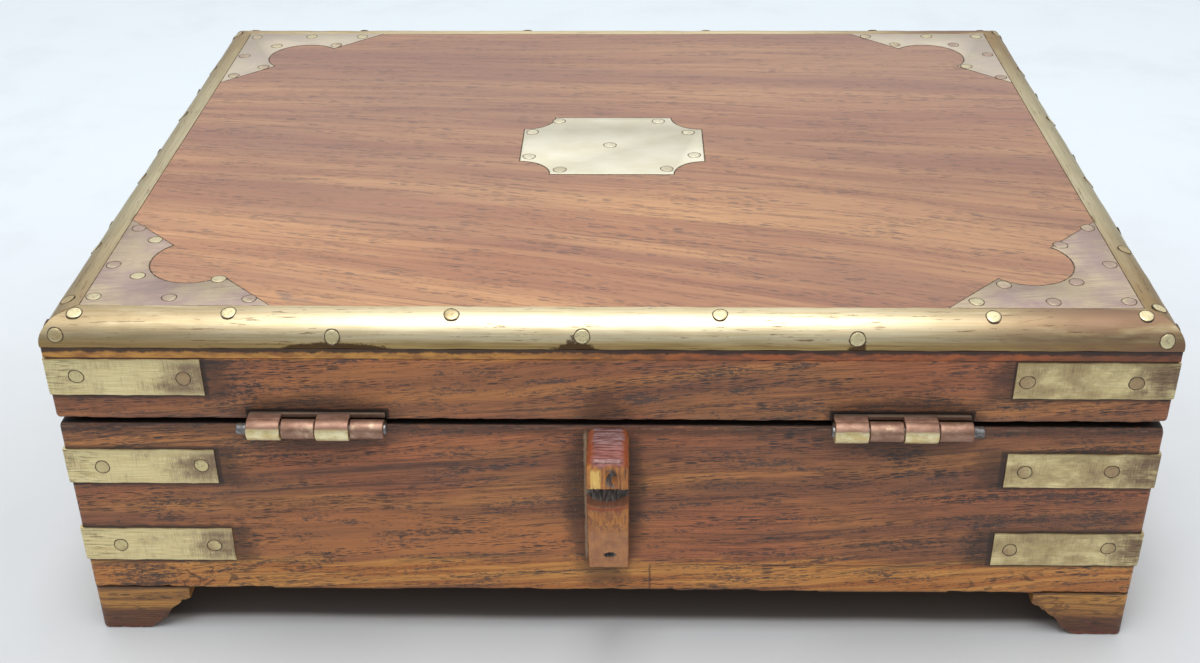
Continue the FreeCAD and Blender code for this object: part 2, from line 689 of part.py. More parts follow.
def stop_block():
    """Upright block on the back board: a worn head, a saw kerf under it and a tapered tail."""
    body = new_body("stop_blank")
    side = sketch_on(body, "YZ_Plane", "stop_side")
    top = BODY_TOP - S.stop_drop
    arris = top - S.stop_top_fall
    head_low = arris - S.stop_head_height
    kerf = S.stop_depth - S.stop_kerf_depth
    shoulder = head_low - S.stop_kerf_height - (S.stop_tail_depth - kerf)
    outline(side, [(0, top - S.stop_height), (S.stop_toe_depth, top - S.stop_height),
                   (S.stop_tail_depth, shoulder), (kerf, head_low - S.stop_kerf_height),
                   (kerf, head_low), (S.stop_depth, head_low), (S.stop_depth, arris), (0, top)])
    blank = pad(body, side, S.stop_width, both_ways=True)
    doc.recompute()
    rims = []
    for i, edge in enumerate(blank.Shape.Edges, start=1):
        middle = edge.CenterOfMass
        if middle.z > arris.value and abs(abs(middle.x) - S.stop_width.value / 2) < 1e-6:
            rims.append(f"Edge{i}")
    shoulders = body.newObject("PartDesign::Fillet", "stop_shoulders")
    shoulders.Base = (blank, rims)
    bind(shoulders, "Radius", S.stop_shoulder_radius)
    return place(body, 0, HALF_DEPTH, 0)


keep(stop_block(), "lid_stop_block")

# ---------------------------------------------------------------- drawer

DRAWER_WIDTH = OPENING_WIDTH - 2 * S.drawer_gap
DRAWER_LOW = BAY_BOTTOM + S.drawer_rest_gap
DRAWER_HEIGHT = S.drawer_bay_height - S.drawer_rest_gap - S.drawer_gap
DRAWER_INSIDE = DRAWER_WIDTH - 2 * S.drawer_side_thickness
SIDE_LENGTH = INNER_DEPTH - S.drawer_back_gap
KNOB_Z = DRAWER_LOW + DRAWER_HEIGHT / 2
PANEL_LOW = DRAWER_LOW + S.drawer_bottom_rise
PANEL_TOP = PANEL_LOW + S.drawer_bottom_thickness
groove = S.drawer_groove_depth

panel_corner = (-DRAWER_INSIDE / 2 - groove, S.wall_thickness - groove - HALF_DEPTH, PANEL_LOW)
panel_size = (DRAWER_INSIDE + 2 * groove, SIDE_LENGTH + groove, S.drawer_bottom_thickness)
keep(block("drawer_panel", panel_corner, panel_size), "drawer_bottom")
grooves = block("drawer_grooves", panel_corner, panel_size)

shank_hole = doc.addObject("Part::Cylinder", "knob_hole")
bind(shank_hole, "Radius", S.knob_shank_radius + S.knob_shank_clearance)
bind(shank_hole, "Height", S.wall_thickness + 2 * OVERCUT)
place(shank_hole, 0, S.wall_thickness + OVERCUT - HALF_DEPTH, KNOB_Z, 90, Vector(1, 0, 0))
face = block("drawer_face", (-DRAWER_WIDTH / 2, -HALF_DEPTH, DRAWER_LOW),
             (DRAWER_WIDTH, S.wall_thickness, DRAWER_HEIGHT))
keep(cut("drawer_face_cut", face, [grooves, shank_hole]), "drawer_front")
for side, sign in (("left", -1), ("right", 1)):
    x, width = inward(sign, DRAWER_WIDTH / 2, 0, S.drawer_side_thickness)
    blank = block(f"drawer_{side}_blank", (x, S.wall_thickness - HALF_DEPTH, DRAWER_LOW),
                  (width, SIDE_LENGTH, DRAWER_HEIGHT))
    keep(cut(f"drawer_{side}_cut", blank, [grooves]), f"drawer_side_{side}")
back_y = S.wall_thickness + SIDE_LENGTH - S.drawer_side_thickness - HALF_DEPTH
keep(block("drawer_rear", (-DRAWER_INSIDE / 2, back_y, PANEL_TOP),
           (DRAWER_INSIDE, S.drawer_side_thickness, DRAWER_LOW + DRAWER_HEIGHT - PANEL_TOP)), "drawer_back")


def knob():
    """Turned knob: shank through the drawer's front, round base, waist and flared head."""
    body = new_body("knob_turned")
    profile = sketch_on(body, "XZ_Plane", "knob_profile")
    shank, head = S.knob_shank_radius, S.knob_head_radius
    rim_top = S.knob_projection - S.knob_chamfer
    outline(profile, [(0, -S.wall_thickness), (shank, -S.wall_thickness), (shank, 0),
                      (S.knob_base_radius, 0), (S.knob_base_radius, S.knob_base_height),
                      (S.knob_waist_radius, S.knob_waist_height), (head, rim_top - S.knob_rim_height),
                      (head, rim_top), (head - S.knob_chamfer, S.knob_projection),
                      (0, S.knob_projection)])
    turned = body.newObject("PartDesign::Revolution", "knob_revolution")
    turned.Profile = profile
    turned.ReferenceAxis = (profile, ["V_Axis"])
    turned.Angle = 360
    return place(body, 0, -HALF_DEPTH, KNOB_Z, 90, Vector(1, 0, 0))


keep(knob(), "drawer_knob")

# ---------------------------------------------------------------- pins and screws

def heads(label, seats):
    """Group of pin heads. Each seat is x, y, z and the turn that leads +Z to its outward normal."""
    group = doc.addObject("Part::Compound", f"{label}_group")
    members = []
    for i, (x, y, z, axis, turn) in enumerate(seats):
        head = doc.addObject("Part::Prism", f"{label}_{i}")
        head.Polygon = PIN_SIDES
        bind(head, "Circumradius", S.pin_head_radius)
        bind(head, "Height", S.pin_head_height)
        members.append(place(head, x, y, z, turn, axis))
    group.Links = members
    return keep(group, label)


UP = (Vector(1, 0, 0), 0)
DOWN = (Vector(1, 0, 0), 180)


def toward(sign_x, sign_y, lift=0.0):
    """Axis and angle that turn +Z to a level outward direction, raised by lift degrees."""
    return Vector(-sign_y, sign_x, 0), 90 - lift


def strap_pins(levels):
    """Two pins on each leg of each strap."""
    seats = []
    for level in levels:
        z = STRAP_LOWS[level] + S.strap_height / 2
        for _, sign_x, sign_y in CORNERS:
            for along in (S.strap_pin_near, S.strap_pin_far):
                x, y = sign_x * (HALF_WIDTH - along), sign_y * (HALF_DEPTH - along)
                seats.append((x, sign_y * (HALF_DEPTH + S.strap_proud), z, *toward(0, sign_y)))
                seats.append((sign_x * (HALF_WIDTH + S.strap_proud), y, z, *toward(sign_x, 0)))
    return seats


def plate_pins():
    """Eight pins on each corner plate, from its right-angled corner to its tips and cusps."""
    edge, middle, tip = S.plate_pin_edge, S.plate_pin_middle, S.plate_pin_tip
    far, near, inner = S.plate_pin_cusp_far, S.plate_pin_cusp_near, S.plate_pin_root
    spots = [(edge, edge), (edge, middle), (middle, edge), (edge, tip), (tip, edge),
             (near, far), (far, near), (inner, inner)]
    seats = []
    for _, sign_x, sign_y in CORNERS:
        x, y = plate_corner(sign_x, sign_y)
        seats += [(x - sign_x * a, y - sign_y * b, LID_TOP + S.plate_proud, *UP) for a, b in spots]
    return seats


def cartouche_pins():
    """A middle pin and one beside each end of the four bites."""
    w, d = S.cartouche_width / 2, S.cartouche_depth / 2
    inset, horn = S.cartouche_pin_inset, S.cartouche_pin_horn
    spots = [(0, 0)]
    for sign_x in (-1, 1):
        for sign_y in (-1, 1):
            spots.append((sign_x * (w - S.cartouche_bite - horn), sign_y * (d - inset)))
            spots.append((sign_x * (w - inset), sign_y * (d - S.cartouche_bite - horn)))
    return [(x, y, LID_TOP + S.plate_proud, *UP) for x, y in spots]


def edging_pins():
    """Two rows along each strip of edging, square to its round."""
    seats = []
    rows = ((UPPER_PIN_ANGLE, ACROSS_UPPER_PINS, False), (LOWER_PIN_ANGLE, ACROSS_LOWER_PINS, True))
    for angle, shares, with_middle in rows:
        out = S.edging_radius * math.cos(math.radians(angle)) + S.edging_proud - S.edging_radius
        z = LID_TOP + S.edging_proud - S.edging_radius * (1 - math.sin(math.radians(angle)))
        places = [sign * share for share in shares for sign in (-1, 1)] + ([0] if with_middle else [])
        for sign in (-1, 1):
            for share in places:
                seats.append((HALF_WIDTH * share, sign * (HALF_DEPTH + out), z, *toward(0, sign, angle)))
                seats.append((sign * (HALF_WIDTH + out), HALF_DEPTH * share, z, *toward(sign, 0, angle)))
    return seats


def hinge_screws(z, facing):
    """Two screw heads on each leaf."""
    return [(x + sign * S.hinge_screw_spacing / 2, HALF_DEPTH - S.hinge_screw_inset, z, *facing)
            for _, _, x in HINGES for sign in (-1, 1)]


heads("lid_edging_pins", edging_pins())
heads("corner_plate_pins", plate_pins())
heads("cartouche_pins", cartouche_pins())
heads("lid_strap_pins", strap_pins(("lid",)))
heads("body_strap_pins", strap_pins(("upper", "lower")))
heads("hinge_lid_screws", hinge_screws(LID_LEAF_TOP - S.lid_leaf_thickness, DOWN))
heads("hinge_body_screws", hinge_screws(BODY_TOP, UP))

# ---------------------------------------------------------------- write the pieces

doc.recompute()
for thing in doc.Objects:
    if {"Invalid", "Error"} & set(thing.State):
        raise RuntimeError(f"{thing.Label} failed: {thing.State}")
os.makedirs("parts", exist_ok=True)
for thing in parts:
    if thing.Shape.isNull() or not thing.Shape.isValid():
        raise RuntimeError(f"{thing.Label} has no valid shape")
for thing in parts:
    thing.Shape.exportStep(f"parts/{thing.Label}.step")
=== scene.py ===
"""Brass-bound letter writing box: oiled rosewood, old sheet brass and plain studio light.

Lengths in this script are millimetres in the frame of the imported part: +Z up, the drawer
looks along -Y, the hinges are on the +Y side. Meshes are stored in metres.
"""

import functools
import math

import bmesh
import bpy
import numpy as np
from mathutils import Matrix, Vector


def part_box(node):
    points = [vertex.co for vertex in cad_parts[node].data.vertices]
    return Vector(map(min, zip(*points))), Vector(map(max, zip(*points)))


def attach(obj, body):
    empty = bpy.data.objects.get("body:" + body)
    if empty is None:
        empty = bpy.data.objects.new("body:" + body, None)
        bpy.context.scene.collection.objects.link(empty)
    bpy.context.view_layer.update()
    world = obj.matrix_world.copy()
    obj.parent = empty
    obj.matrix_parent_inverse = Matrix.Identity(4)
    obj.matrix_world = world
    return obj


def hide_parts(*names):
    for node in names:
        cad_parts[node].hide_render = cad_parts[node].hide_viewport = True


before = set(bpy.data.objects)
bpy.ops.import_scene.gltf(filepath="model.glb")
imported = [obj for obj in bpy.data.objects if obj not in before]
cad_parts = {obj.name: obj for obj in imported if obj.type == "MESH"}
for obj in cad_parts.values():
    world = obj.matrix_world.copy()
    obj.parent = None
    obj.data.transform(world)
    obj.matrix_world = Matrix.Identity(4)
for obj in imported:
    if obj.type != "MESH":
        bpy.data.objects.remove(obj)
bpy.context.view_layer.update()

MM = 0.001
TURN = 2 * math.pi


def box_mm(node):
    """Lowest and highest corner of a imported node."""
    return tuple(np.array(corner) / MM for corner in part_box(node))


# ---------------- sizes read off the frame

case_low, case_high = box_mm("body_back_board")
_, top_high = box_mm("lid_top_board")
rail_low, rail_high = box_mm("lid_back_rail")
HALF_X = case_high[0]
HALF_Y = case_high[1]
CASE_TOP = case_high[2]
LID_LOW, RAIL_TOP, LID_TOP = rail_low[2], rail_high[2], top_high[2]
WALL = case_high[1] - case_low[1]

PROUD = 0.25                  # edging stands this far out of the wood
STRAP_PROUD = 0.45
PLATE_TOP = LID_TOP + 0.15
PLATE_RIM = 0.25
SHEET = 1.0
EDGING_RADIUS = 7.8
EDGING_WIDTH = 9.7
EDGING_DROP = 8.8
EDGING_SHEET = 0.8
PLATE_REACH = 56.0
PLATE_BITE = 14.6
FIELD_X = HALF_X - EDGING_WIDTH - 0.12
FIELD_Y = HALF_Y - EDGING_WIDTH - 0.12
STRAP_REACH = 47.0
STRAP_LOWS = {"lid": 90.5, "upper": 58.5, "lower": 28.6}
STRAP_BEND = 1.0
STRAP_WIDTH = 12.5
STRAP_SHEET, STRAP_RIM = 0.75, 0.22
HEAD_RADIUS = 2.1
HEAD_HEIGHT, SIDE_HEAD_HEIGHT = 0.2, 0.1
HINGE_LENGTH = 40.6
HINGE_AT = (86.5, -86.9)      # x of the middle of each hinge
AXIS_Y, AXIS_Z = HALF_Y + 3.8, (CASE_TOP + LID_LOW) / 2
KNUCKLE_GAP = 0.3
LID_KNUCKLE, CASE_KNUCKLE, PIN_RADIUS = 3.5, 3.0, 1.7

BOARD_STEP = 1.8              # between the sections of a board
ARRIS_LIMITS = (0.12, 4.5)    # smallest and largest rounding of an arris
NOTCH_ARRIS = 0.4

CORNERS = {"front_left": (-1, -1), "front_right": (1, -1), "back_right": (1, 1), "back_left": (-1, 1)}


# ---------------- noise for shapes

def ripple(t, length, seed):
    """Uneven line about -1..1: the sum of five sines over 2.2, from length down to length / 5.1.

    The shorter a sine's wave, the weaker it is: by the root of length over its wavelength.
    """
    rng = np.random.default_rng(seed)
    t = np.asarray(t, float)
    waves = [np.sin(TURN * t * share / length + rng.uniform(0, TURN)) / share ** 0.5
             for share in (1.0, 1.73, 2.61, 3.7, 5.1)]
    return sum(waves) / 2.2


def lumps(points, length, seed):
    """Uneven surface about -1..1: the sum over 3.2 of seven plane sine waves in random directions."""
    rng = np.random.default_rng(seed)
    total = np.zeros(points.shape[:-1])
    for _ in range(7):
        direction = rng.normal(size=3)
        direction *= TURN * rng.uniform(0.6, 1.5) / (length * np.linalg.norm(direction))
        total += np.sin(points @ direction + rng.uniform(0, TURN))
    return total / 3.2


def smooth(t):
    """0 below 0, 1 above 1, and 3t² - 2t³ between."""
    t = np.clip(t, 0, 1)
    return t * t * (3 - 2 * t)


# ---------------- surfaces

class Shell:
    """Patches of one piece: points in millimetres, faces, and the finish of each face."""

    def __init__(self):
        self.points, self.faces, self.finish = [], [], []
        self.count = 0

    def grid(self, points, wrap=False, finish=0):
        """Quads over a grid of points [row, column]; wrap joins the last column to the first."""
        rows, columns = points.shape[:2]
        index = np.arange(rows * columns).reshape(rows, columns) + self.count
        if wrap:
            index = np.concatenate([index, index[:, :1]], axis=1)
        quads = np.stack([index[:-1, :-1], index[:-1, 1:], index[1:, 1:], index[1:, :-1]], axis=-1)
        quads = quads.reshape(-1, 4).tolist()
        self.points.append(points.reshape(-1, 3))
        self.faces.extend(quads)
        self.finish.extend([finish] * len(quads))
        self.count += rows * columns
        return index

    def cap(self, ring, finish=0):
        """One flat face over a ring of points that are already stored."""
        self.faces.append(list(map(int, ring)))
        self.finish.append(finish)

    def tube(self, points, finish=0):
        """Closed surface: rings of points [row, column], with a flat face at both ends."""
        index = self.grid(points, wrap=True, finish=finish)
        self.cap(index[0, :-1][::-1], finish)
        self.cap(index[-1, :-1], finish)

    def place(self, name, finishes):
        """Make the mesh with its finishes and put it into the scene at the origin."""
        mesh = bpy.data.meshes.new(name)
        mesh.from_pydata((np.concatenate(self.points) * MM).tolist(), [], self.faces)
        for finish in finishes:
            mesh.materials.append(finish)
        mesh.polygons.foreach_set("material_index", self.finish)
        piece = bpy.data.objects.new(name, mesh)
        bpy.context.scene.collection.objects.link(piece)
        return piece

    def build(self, name, finishes, body, node, sharp=35.0):
        """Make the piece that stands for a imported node; edges bent further than sharp stay sharp."""
        piece = self.place(name, finishes)
        face_outwards(piece.data)
        piece.data.shade_smooth()
        piece.data.set_sharp_from_angle(angle=math.radians(sharp))
        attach(piece, body)
        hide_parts(node)


def face_outwards(mesh):
    """Turn the faces of closed shells outwards."""
    work = bmesh.new()
    work.from_mesh(mesh)
    bmesh.ops.recalc_face_normals(work, faces=work.faces)
    work.to_mesh(mesh)
    work.free()


def stations(low, high, step, extra=()):
    """Places from low to high, about step apart and close together near the ends and the extras."""
    even = np.linspace(low, high, max(3, int((high - low) / step)))
    near = np.array([0, 0.06, 0.15, 0.3, 0.5, 0.8, 1.2, 1.7, 2.3])
    places = [even, low + near, high - near] + [np.array([spot]) for spot in extra]
    places = np.unique(np.round(np.concatenate(places), 3))
    return places[(places >= low) & (places <= high)]


def end_inset(from_end, radius):
    """How far a rounded end draws in at the distance e from it: r - sqrt(r² - (r - e)²)."""
    return radius - np.sqrt(np.maximum(radius ** 2 - np.maximum(radius - from_end, 0) ** 2, 0))


def rounded_section(low, high, radii, arc=6, side=5):
    """Loop of a rectangle whose four corners are quarter circles, for every station at once.

    low, high: [station, 2]; radii: [station, 4] for the corners (low, low), (high, low),
    (high, high), (low, high). Result: [station, point, 2].
    """
    signs = np.array([(-1, -1), (1, -1), (1, 1), (-1, 1)])
    loops = []
    for i, sign in enumerate(signs):
        corner = np.where(sign > 0, high, low)
        radius = radii[:, i, None]
        start = math.radians(180 + 90 * i)
        angle = np.linspace(start, start + math.pi / 2, arc)
        centre = corner - sign * radius
        turn = np.stack([np.cos(angle), np.sin(angle)], axis=-1)
        loops.append(centre[:, None, :] + radius[:, :, None] * turn[None])
    section = []
    for i, loop in enumerate(loops):
        following = loops[(i + 1) % 4]
        share = np.linspace(0, 1, side + 1, endpoint=False)[1:, None]
        between = loop[:, -1:, :] * (1 - share) + following[:, :1, :] * share
        section += [loop, between]
    return np.concatenate(section, axis=1)


def worn_board(name, node, along, wear, seed, finish, body, notch=None, swell=0.05, trim=(0.0, 0.0),
               ends=None, chips=0.0):
    """Board with worn arrises.

    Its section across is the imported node's rectangle with corners rounded by wear times
    1 + 0.5 of a long ripple + 0.22 of a short one, plus chips where a third ripple is high, and
    it draws in towards its rounded ends. wear is one number or one for each corner. notch is
    (places of its middles, half length, side -1 below or 1 above, level) for hinge beds; trim is
    taken off the underside and the top; swell is how far the flat faces wander.
    """
    low, high = box_mm(node)
    across = [axis for axis in range(3) if axis != along]
    cuts = []
    if notch:
        middles, half, side, level = notch
        cuts = [middle + sign * (half + gap) for middle in middles for sign in (-1, 1) for gap in (0, 0.02)]
    s = stations(low[along], high[along], BOARD_STEP, cuts)
    lows = np.repeat(low[across][None], len(s), axis=0)
    highs = np.repeat(high[across][None], len(s), axis=0)
    lows[:, 1] += trim[0]
    highs[:, 1] -= trim[1]
    wear = np.broadcast_to(np.asarray(wear, float), (4,))
    radii = np.stack([wear[i] * (1 + 0.5 * ripple(s, 37, seed + i) + 0.22 * ripple(s, 9, seed + 10 + i))
                      + chips * wear[i] * np.clip(ripple(s, 23, seed + 20 + i) - 0.75, 0, 1) ** 0.5
                      for i in range(4)], axis=1)
    radii = np.clip(radii, *ARRIS_LIMITS)
    if notch:
        in_notch = np.any([np.abs(s - middle) <= half + 0.01 for middle in middles], axis=0)
        if side < 0:
            lows[in_notch, 1] = level
        else:
            highs[in_notch, 1] = level
        radii[in_notch] = np.minimum(radii[in_notch], NOTCH_ARRIS)
    end_wear = ends if ends is not None else float(wear.max())
    from_end = np.minimum(s - low[along], high[along] - s)
    inset = end_inset(from_end, end_wear)[:, None] * (1 + 0.25 * ripple(s, 5, seed + 40))[:, None]
    section = rounded_section(lows + inset, highs - inset, radii)
    points = np.empty(section.shape[:2] + (3,))
    points[..., along] = s[:, None]
    points[..., across] = section
    middle = (low + high) / 2
    bulge = swell * lumps(points, 40, seed + 50) - swell
    for axis in across:
        reach = np.abs(points[..., axis] - middle[axis]) / ((high - low)[axis] / 2)
        points[..., axis] += np.sign(points[..., axis] - middle[axis]) * bulge * (reach > 0.9)
    shell = Shell()
    shell.tube(points)
    shell.build(name, [finish], body, node)


def lathe(profile, centre, axis, segments=40, dent=0.0, seed=0):
    """Rings of a turned shape: profile [(place along the axis, radius)], spun about the axis.

    Result: [profile point, angle, 3]. dent adds an unevenness of the radius.
    """
    profile = np.asarray(profile, float)
    angle = np.linspace(0, TURN, segments, endpoint=False)
    first, second = [(1, 2), (2, 0), (0, 1)][axis]
    points = np.zeros((len(profile), segments, 3))
    points[..., axis] = profile[:, :1]
    points[..., first] = profile[:, 1:] * np.cos(angle)
    points[..., second] = profile[:, 1:] * np.sin(angle)
    if dent:
        points[..., (first, second)] *= 1 + dent * lumps(points, 3.5, seed)[..., None]
    return points + centre


def round_rod(low, high, radius, edge, bore=0.0):
    """Profile of a rod from low to high whose end rims are rounded, with a bore if there is one."""
    angle = np.linspace(0, math.pi / 2, 5)
    start = [(low + edge * (1 - math.sin(a)), radius - edge * (1 - math.cos(a))) for a in angle[::-1]]
    end = [(high - edge * (1 - math.sin(a)), radius - edge * (1 - math.cos(a))) for a in angle]
    middle = [(low + (high - low) * share, radius) for share in (0.3, 0.5, 0.7)]
    return [(low, bore)] + start + middle + end + [(high, bore)]


# ---------------- shader maths

def operator_pair(operation):
    """An operator and its reflected form, each of which adds one Math node."""
    def forward(wire, other):
        return wire.nodes.add("ShaderNodeMath", {"operation": operation}, {0: wire, 1: other})

    def reflected(wire, other):
        return wire.nodes.add("ShaderNodeMath", {"operation": operation}, {0: other, 1: wire})

    return forward, reflected


class Wire:
    """A shader socket that carries a number; arithmetic on it adds Math nodes."""

    def __init__(self, nodes, socket):
        self.nodes = nodes
        self.socket = socket

    __add__, __radd__ = operator_pair("ADD")
    __sub__, __rsub__ = operator_pair("SUBTRACT")
    __mul__, __rmul__ = operator_pair("MULTIPLY")
    __truediv__, __rtruediv__ = operator_pair("DIVIDE")
    __pow__, __rpow__ = operator_pair("POWER")
    higher, _ = operator_pair("MAXIMUM")
    lower, _ = operator_pair("MINIMUM")

    def __abs__(self):
        return self.nodes.add("ShaderNodeMath", {"operation": "ABSOLUTE"}, {0: self})


def highest(wires):
    """The largest of several numbers."""
    return functools.reduce(Wire.higher, wires)


class Nodes:
    """A node tree while it is being made."""

    def __init__(self, tree):
        self.tree = tree

    def put(self, socket, value):
        """Link a socket or give it a value."""
        if isinstance(value, Wire):
            self.tree.links.new(value.socket, socket)
        else:
            socket.default_value = value

    def add(self, kind, settings=None, sockets=None, output=0):
        """Add a node: settings first, then a value or link for each socket; returns one output."""
        node = self.tree.nodes.new(kind)
        for key, value in (settings or {}).items():
            setattr(node, key, value)
        for key, value in (sockets or {}).items():
            self.put(node.inputs[key], value)
        return node if output is None else Wire(self, node.outputs[output])

    def mix(self, share, first, second):
        """Colour that goes from first to second as share goes from 0 to 1."""
        first, second = (rgb(*colour) if isinstance(colour, tuple) else colour for colour in (first, second))
        return self.add("ShaderNodeMix", {"data_type": "RGBA"}, {0: share, 6: first, 7: second}, output=2)


class Finish(Nodes):
    """One material while it is being made. x, y and z are object coordinates in millimetres."""

    def __init__(self, name):
        self.material = bpy.data.materials.new(name)
        self.material.use_nodes = True
        super().__init__(self.material.node_tree)
        self.shader = self.tree.nodes["Principled BSDF"]
        self.colour = None
        coordinates = self.add("ShaderNodeTexCoord", output="Object")
        scaled = self.add("ShaderNodeVectorMath", {"operation": "SCALE"}, {0: coordinates, "Scale": 1 / MM})
        parts = self.add("ShaderNodeSeparateXYZ", sockets={0: scaled}, output=None)
        self.x, self.y, self.z = (Wire(self, socket) for socket in parts.outputs)

    def vector(self, x, y, z):
        """Vector of three numbers or wires."""
        return self.add("ShaderNodeCombineXYZ", sockets={0: x, 1: y, 2: z})

    def noise(self, x, y, z, detail=2.0, rough=0.5, warp=0.0):
        """Soft noise, 0..1 about 0.5; one unit of x, y or z is one lump."""
        return self.add("ShaderNodeTexNoise", sockets={"Vector": self.vector(x, y, z), "Scale": 1.0,
                                                       "Detail": detail, "Roughness": rough,
                                                       "Distortion": warp})

    def cloud(self, x, y, z, detail=2.0, rough=0.5, warp=0.0):
        """Soft noise with lumps of the given sizes in millimetres; 0 leaves an axis out."""
        places = [axis / size if size else 0.0 for axis, size in zip((self.x, self.y, self.z), (x, y, z))]
        return self.noise(*places, detail, rough, warp)

    def cells(self, x, y, z):
        """Scattered points, one in each unit cell: (distance to the nearest, its own number 0..1)."""
        node = self.add("ShaderNodeTexVoronoi", sockets={"Vector": self.vector(x, y, z), "Scale": 1.0},
                        output=None)
        tone = self.add("ShaderNodeSeparateColor", sockets={0: Wire(self, node.outputs["Color"])})
        return Wire(self, node.outputs["Distance"]), tone

    def ramp(self, value, low, high):
        """0 below low, 1 above high and smooth between; low may be the higher number."""
        settings = {"interpolation_type": "SMOOTHSTEP", "clamp": True}
        if low <= high:
            sockets = {"Value": value, "From Min": low, "From Max": high}
            return self.add("ShaderNodeMapRange", settings, sockets)
        return 1 - self.ramp(value, high, low)

    def blend(self, value, low, high, first, second):
        """Colour that goes from first to second while a value passes from low to high."""
        return self.mix(self.ramp(value, low, high), first, second)

    def paint(self, share, tint):
        """Lay a tint over the finish's own colour where share is 1."""
        self.colour = self.mix(share, self.colour, tint)

    def stain(self, value, low, high, share, tint):
        """Lay a share of a tint where a value has passed from low to high."""
        self.paint(self.ramp(value, low, high) * share, tint)

    def spot(self, centre, reach, edge=0.35):
        """1 inside an ellipsoid of the given reaches, 0 outside; None leaves an axis out."""
        total = None
        for value, at, size in zip((self.x, self.y, self.z), centre, reach):
            if size is None:
                continue
            part = ((value - at) / size) ** 2.0
            total = part if total is None else total + part
        return self.ramp(total, 1 + edge, 1 - edge)

    def slab(self, low, high, edge, value=None):
        """1 where a value lies between low and high, fading over the edge width."""
        value = self.z if value is None else value
        return self.ramp(value, low - edge, low + edge) * self.ramp(value, high + edge, high - edge)

    def done(self, rough, relief=None, depth=0.0, strength=1.0, metallic=0.0):
        """Give the shader its colour, roughness and metal, and a relief 0..1 of a depth in millimetres."""
        sockets = {"Base Color": self.colour, "Roughness": rough, "Metallic": metallic}
        if relief is not None:
            bump = {"Strength": strength, "Distance": depth * MM, "Height": relief}
            sockets["Normal"] = self.add("ShaderNodeBump", sockets=bump)
        for key, value in sockets.items():
            self.put(self.shader.inputs[key], value)
        return self.material


def rgb(red, green, blue):
    """Linear colour from the 0..255 values of a picture."""
    def linear(value):
        """One channel without the picture's gamma."""
        value /= 255
        return value / 12.92 if value <= 0.04045 else ((value + 0.055) / 1.055) ** 2.4
    return (linear(red), linear(green), linear(blue), 1.0)


# ---------------- wood

EDGE_DARK = (46, 34, 30)


def grain(f, along, across, deep, slant, band_width, pore_length=4.6, pore_width=0.4, pores_from=0.46):
    """Rosewood figure: (band, streak, fibre, thread, pore), each 0..1.

    The figure runs along one axis, leans by slant and wanders in slow waves. Threads are thin
    dark lines; pores are short dashes, crowded in some of the bands.
    """
    wander = f.noise(along / 95, across / 30, deep / 30, 1)
    c = across + slant * along + 9 * wander
    band = f.noise(along / 210, c / band_width, deep / band_width, 3, 0.55)
    streak = f.noise(along / 60, c / 1.7, deep / 1.7, 3, 0.6)
    fibre = f.noise(along / 12, c / 0.38, deep / 0.38, 2, 0.6)
    thread = f.ramp(f.noise(along / 120, c / 2.4, deep / 2.4 + 9, 4, 0.7), 0.56, 0.66)
    crowd = f.noise(along / 26 + 7, c / 4, deep / 4, 3, 0.65)
    far, own = f.cells(along / pore_length, c / pore_width, deep / pore_width)
    dash = f.ramp(far + 0.42 * own, 0.62, 0.44)
    far, own = f.cells(along / (pore_length * 0.45) + 5, c / (pore_width * 0.7), deep / pore_width)
    small = f.ramp(far + 0.5 * own, 0.5, 0.34)
    pore = (dash * f.ramp(crowd, pores_from, pores_from + 0.12)).higher(
        small * f.ramp(streak, 0.46, 0.62) * 0.8)
    return band, streak, fibre, thread, pore


# charcoal patches in the grain of the back, as (x, z, half their length, half their height)
CHARCOAL = ((-128, 54, 32, 2), (-136, 47.6, 29, 1.4), (-88, 36, 14, 1.6), (-90, 69, 6, 3),
            (-142, 73.5, 8, 1.6), (-114, 37, 5, 5), (136, 48.5, 8, 3.5), (94, 37.5, 6, 2.5),
            (92, 29.5, 8, 2.5), (59, 39.6, 15, 1.3), (148, 22, 9, 4.5), (114, 37.5, 4, 3),
            (106, 68.7, 12, 1.2), (115, 101, 7, 1.5), (107, 94, 6, 5))


def paint_sapwood(f, along, deep, streak, fibre):
    """Pale wood along the foot of the case and, on the left, along the lid's top; wavering borders."""
    border = f.noise(along / 45, f.z / 60, deep / 60, 3) - 0.5
    foot = f.ramp(f.z + 16 * border + 6 * (streak - 0.5), 31.5, 26.5)
    top = f.ramp(f.z + 5 * border, RAIL_TOP - 1.8, RAIL_TOP - 0.8) * f.ramp(f.x, -40, 60) * 0.8
    pale = f.blend(streak, 0.35, 0.65, (234, 166, 84), (198, 122, 58))
    pale = f.mix((1 - f.ramp(fibre, 0.3, 0.6)) * 0.4, pale, (136, 84, 50))
    f.paint(foot.higher(top) * 0.85, pale)


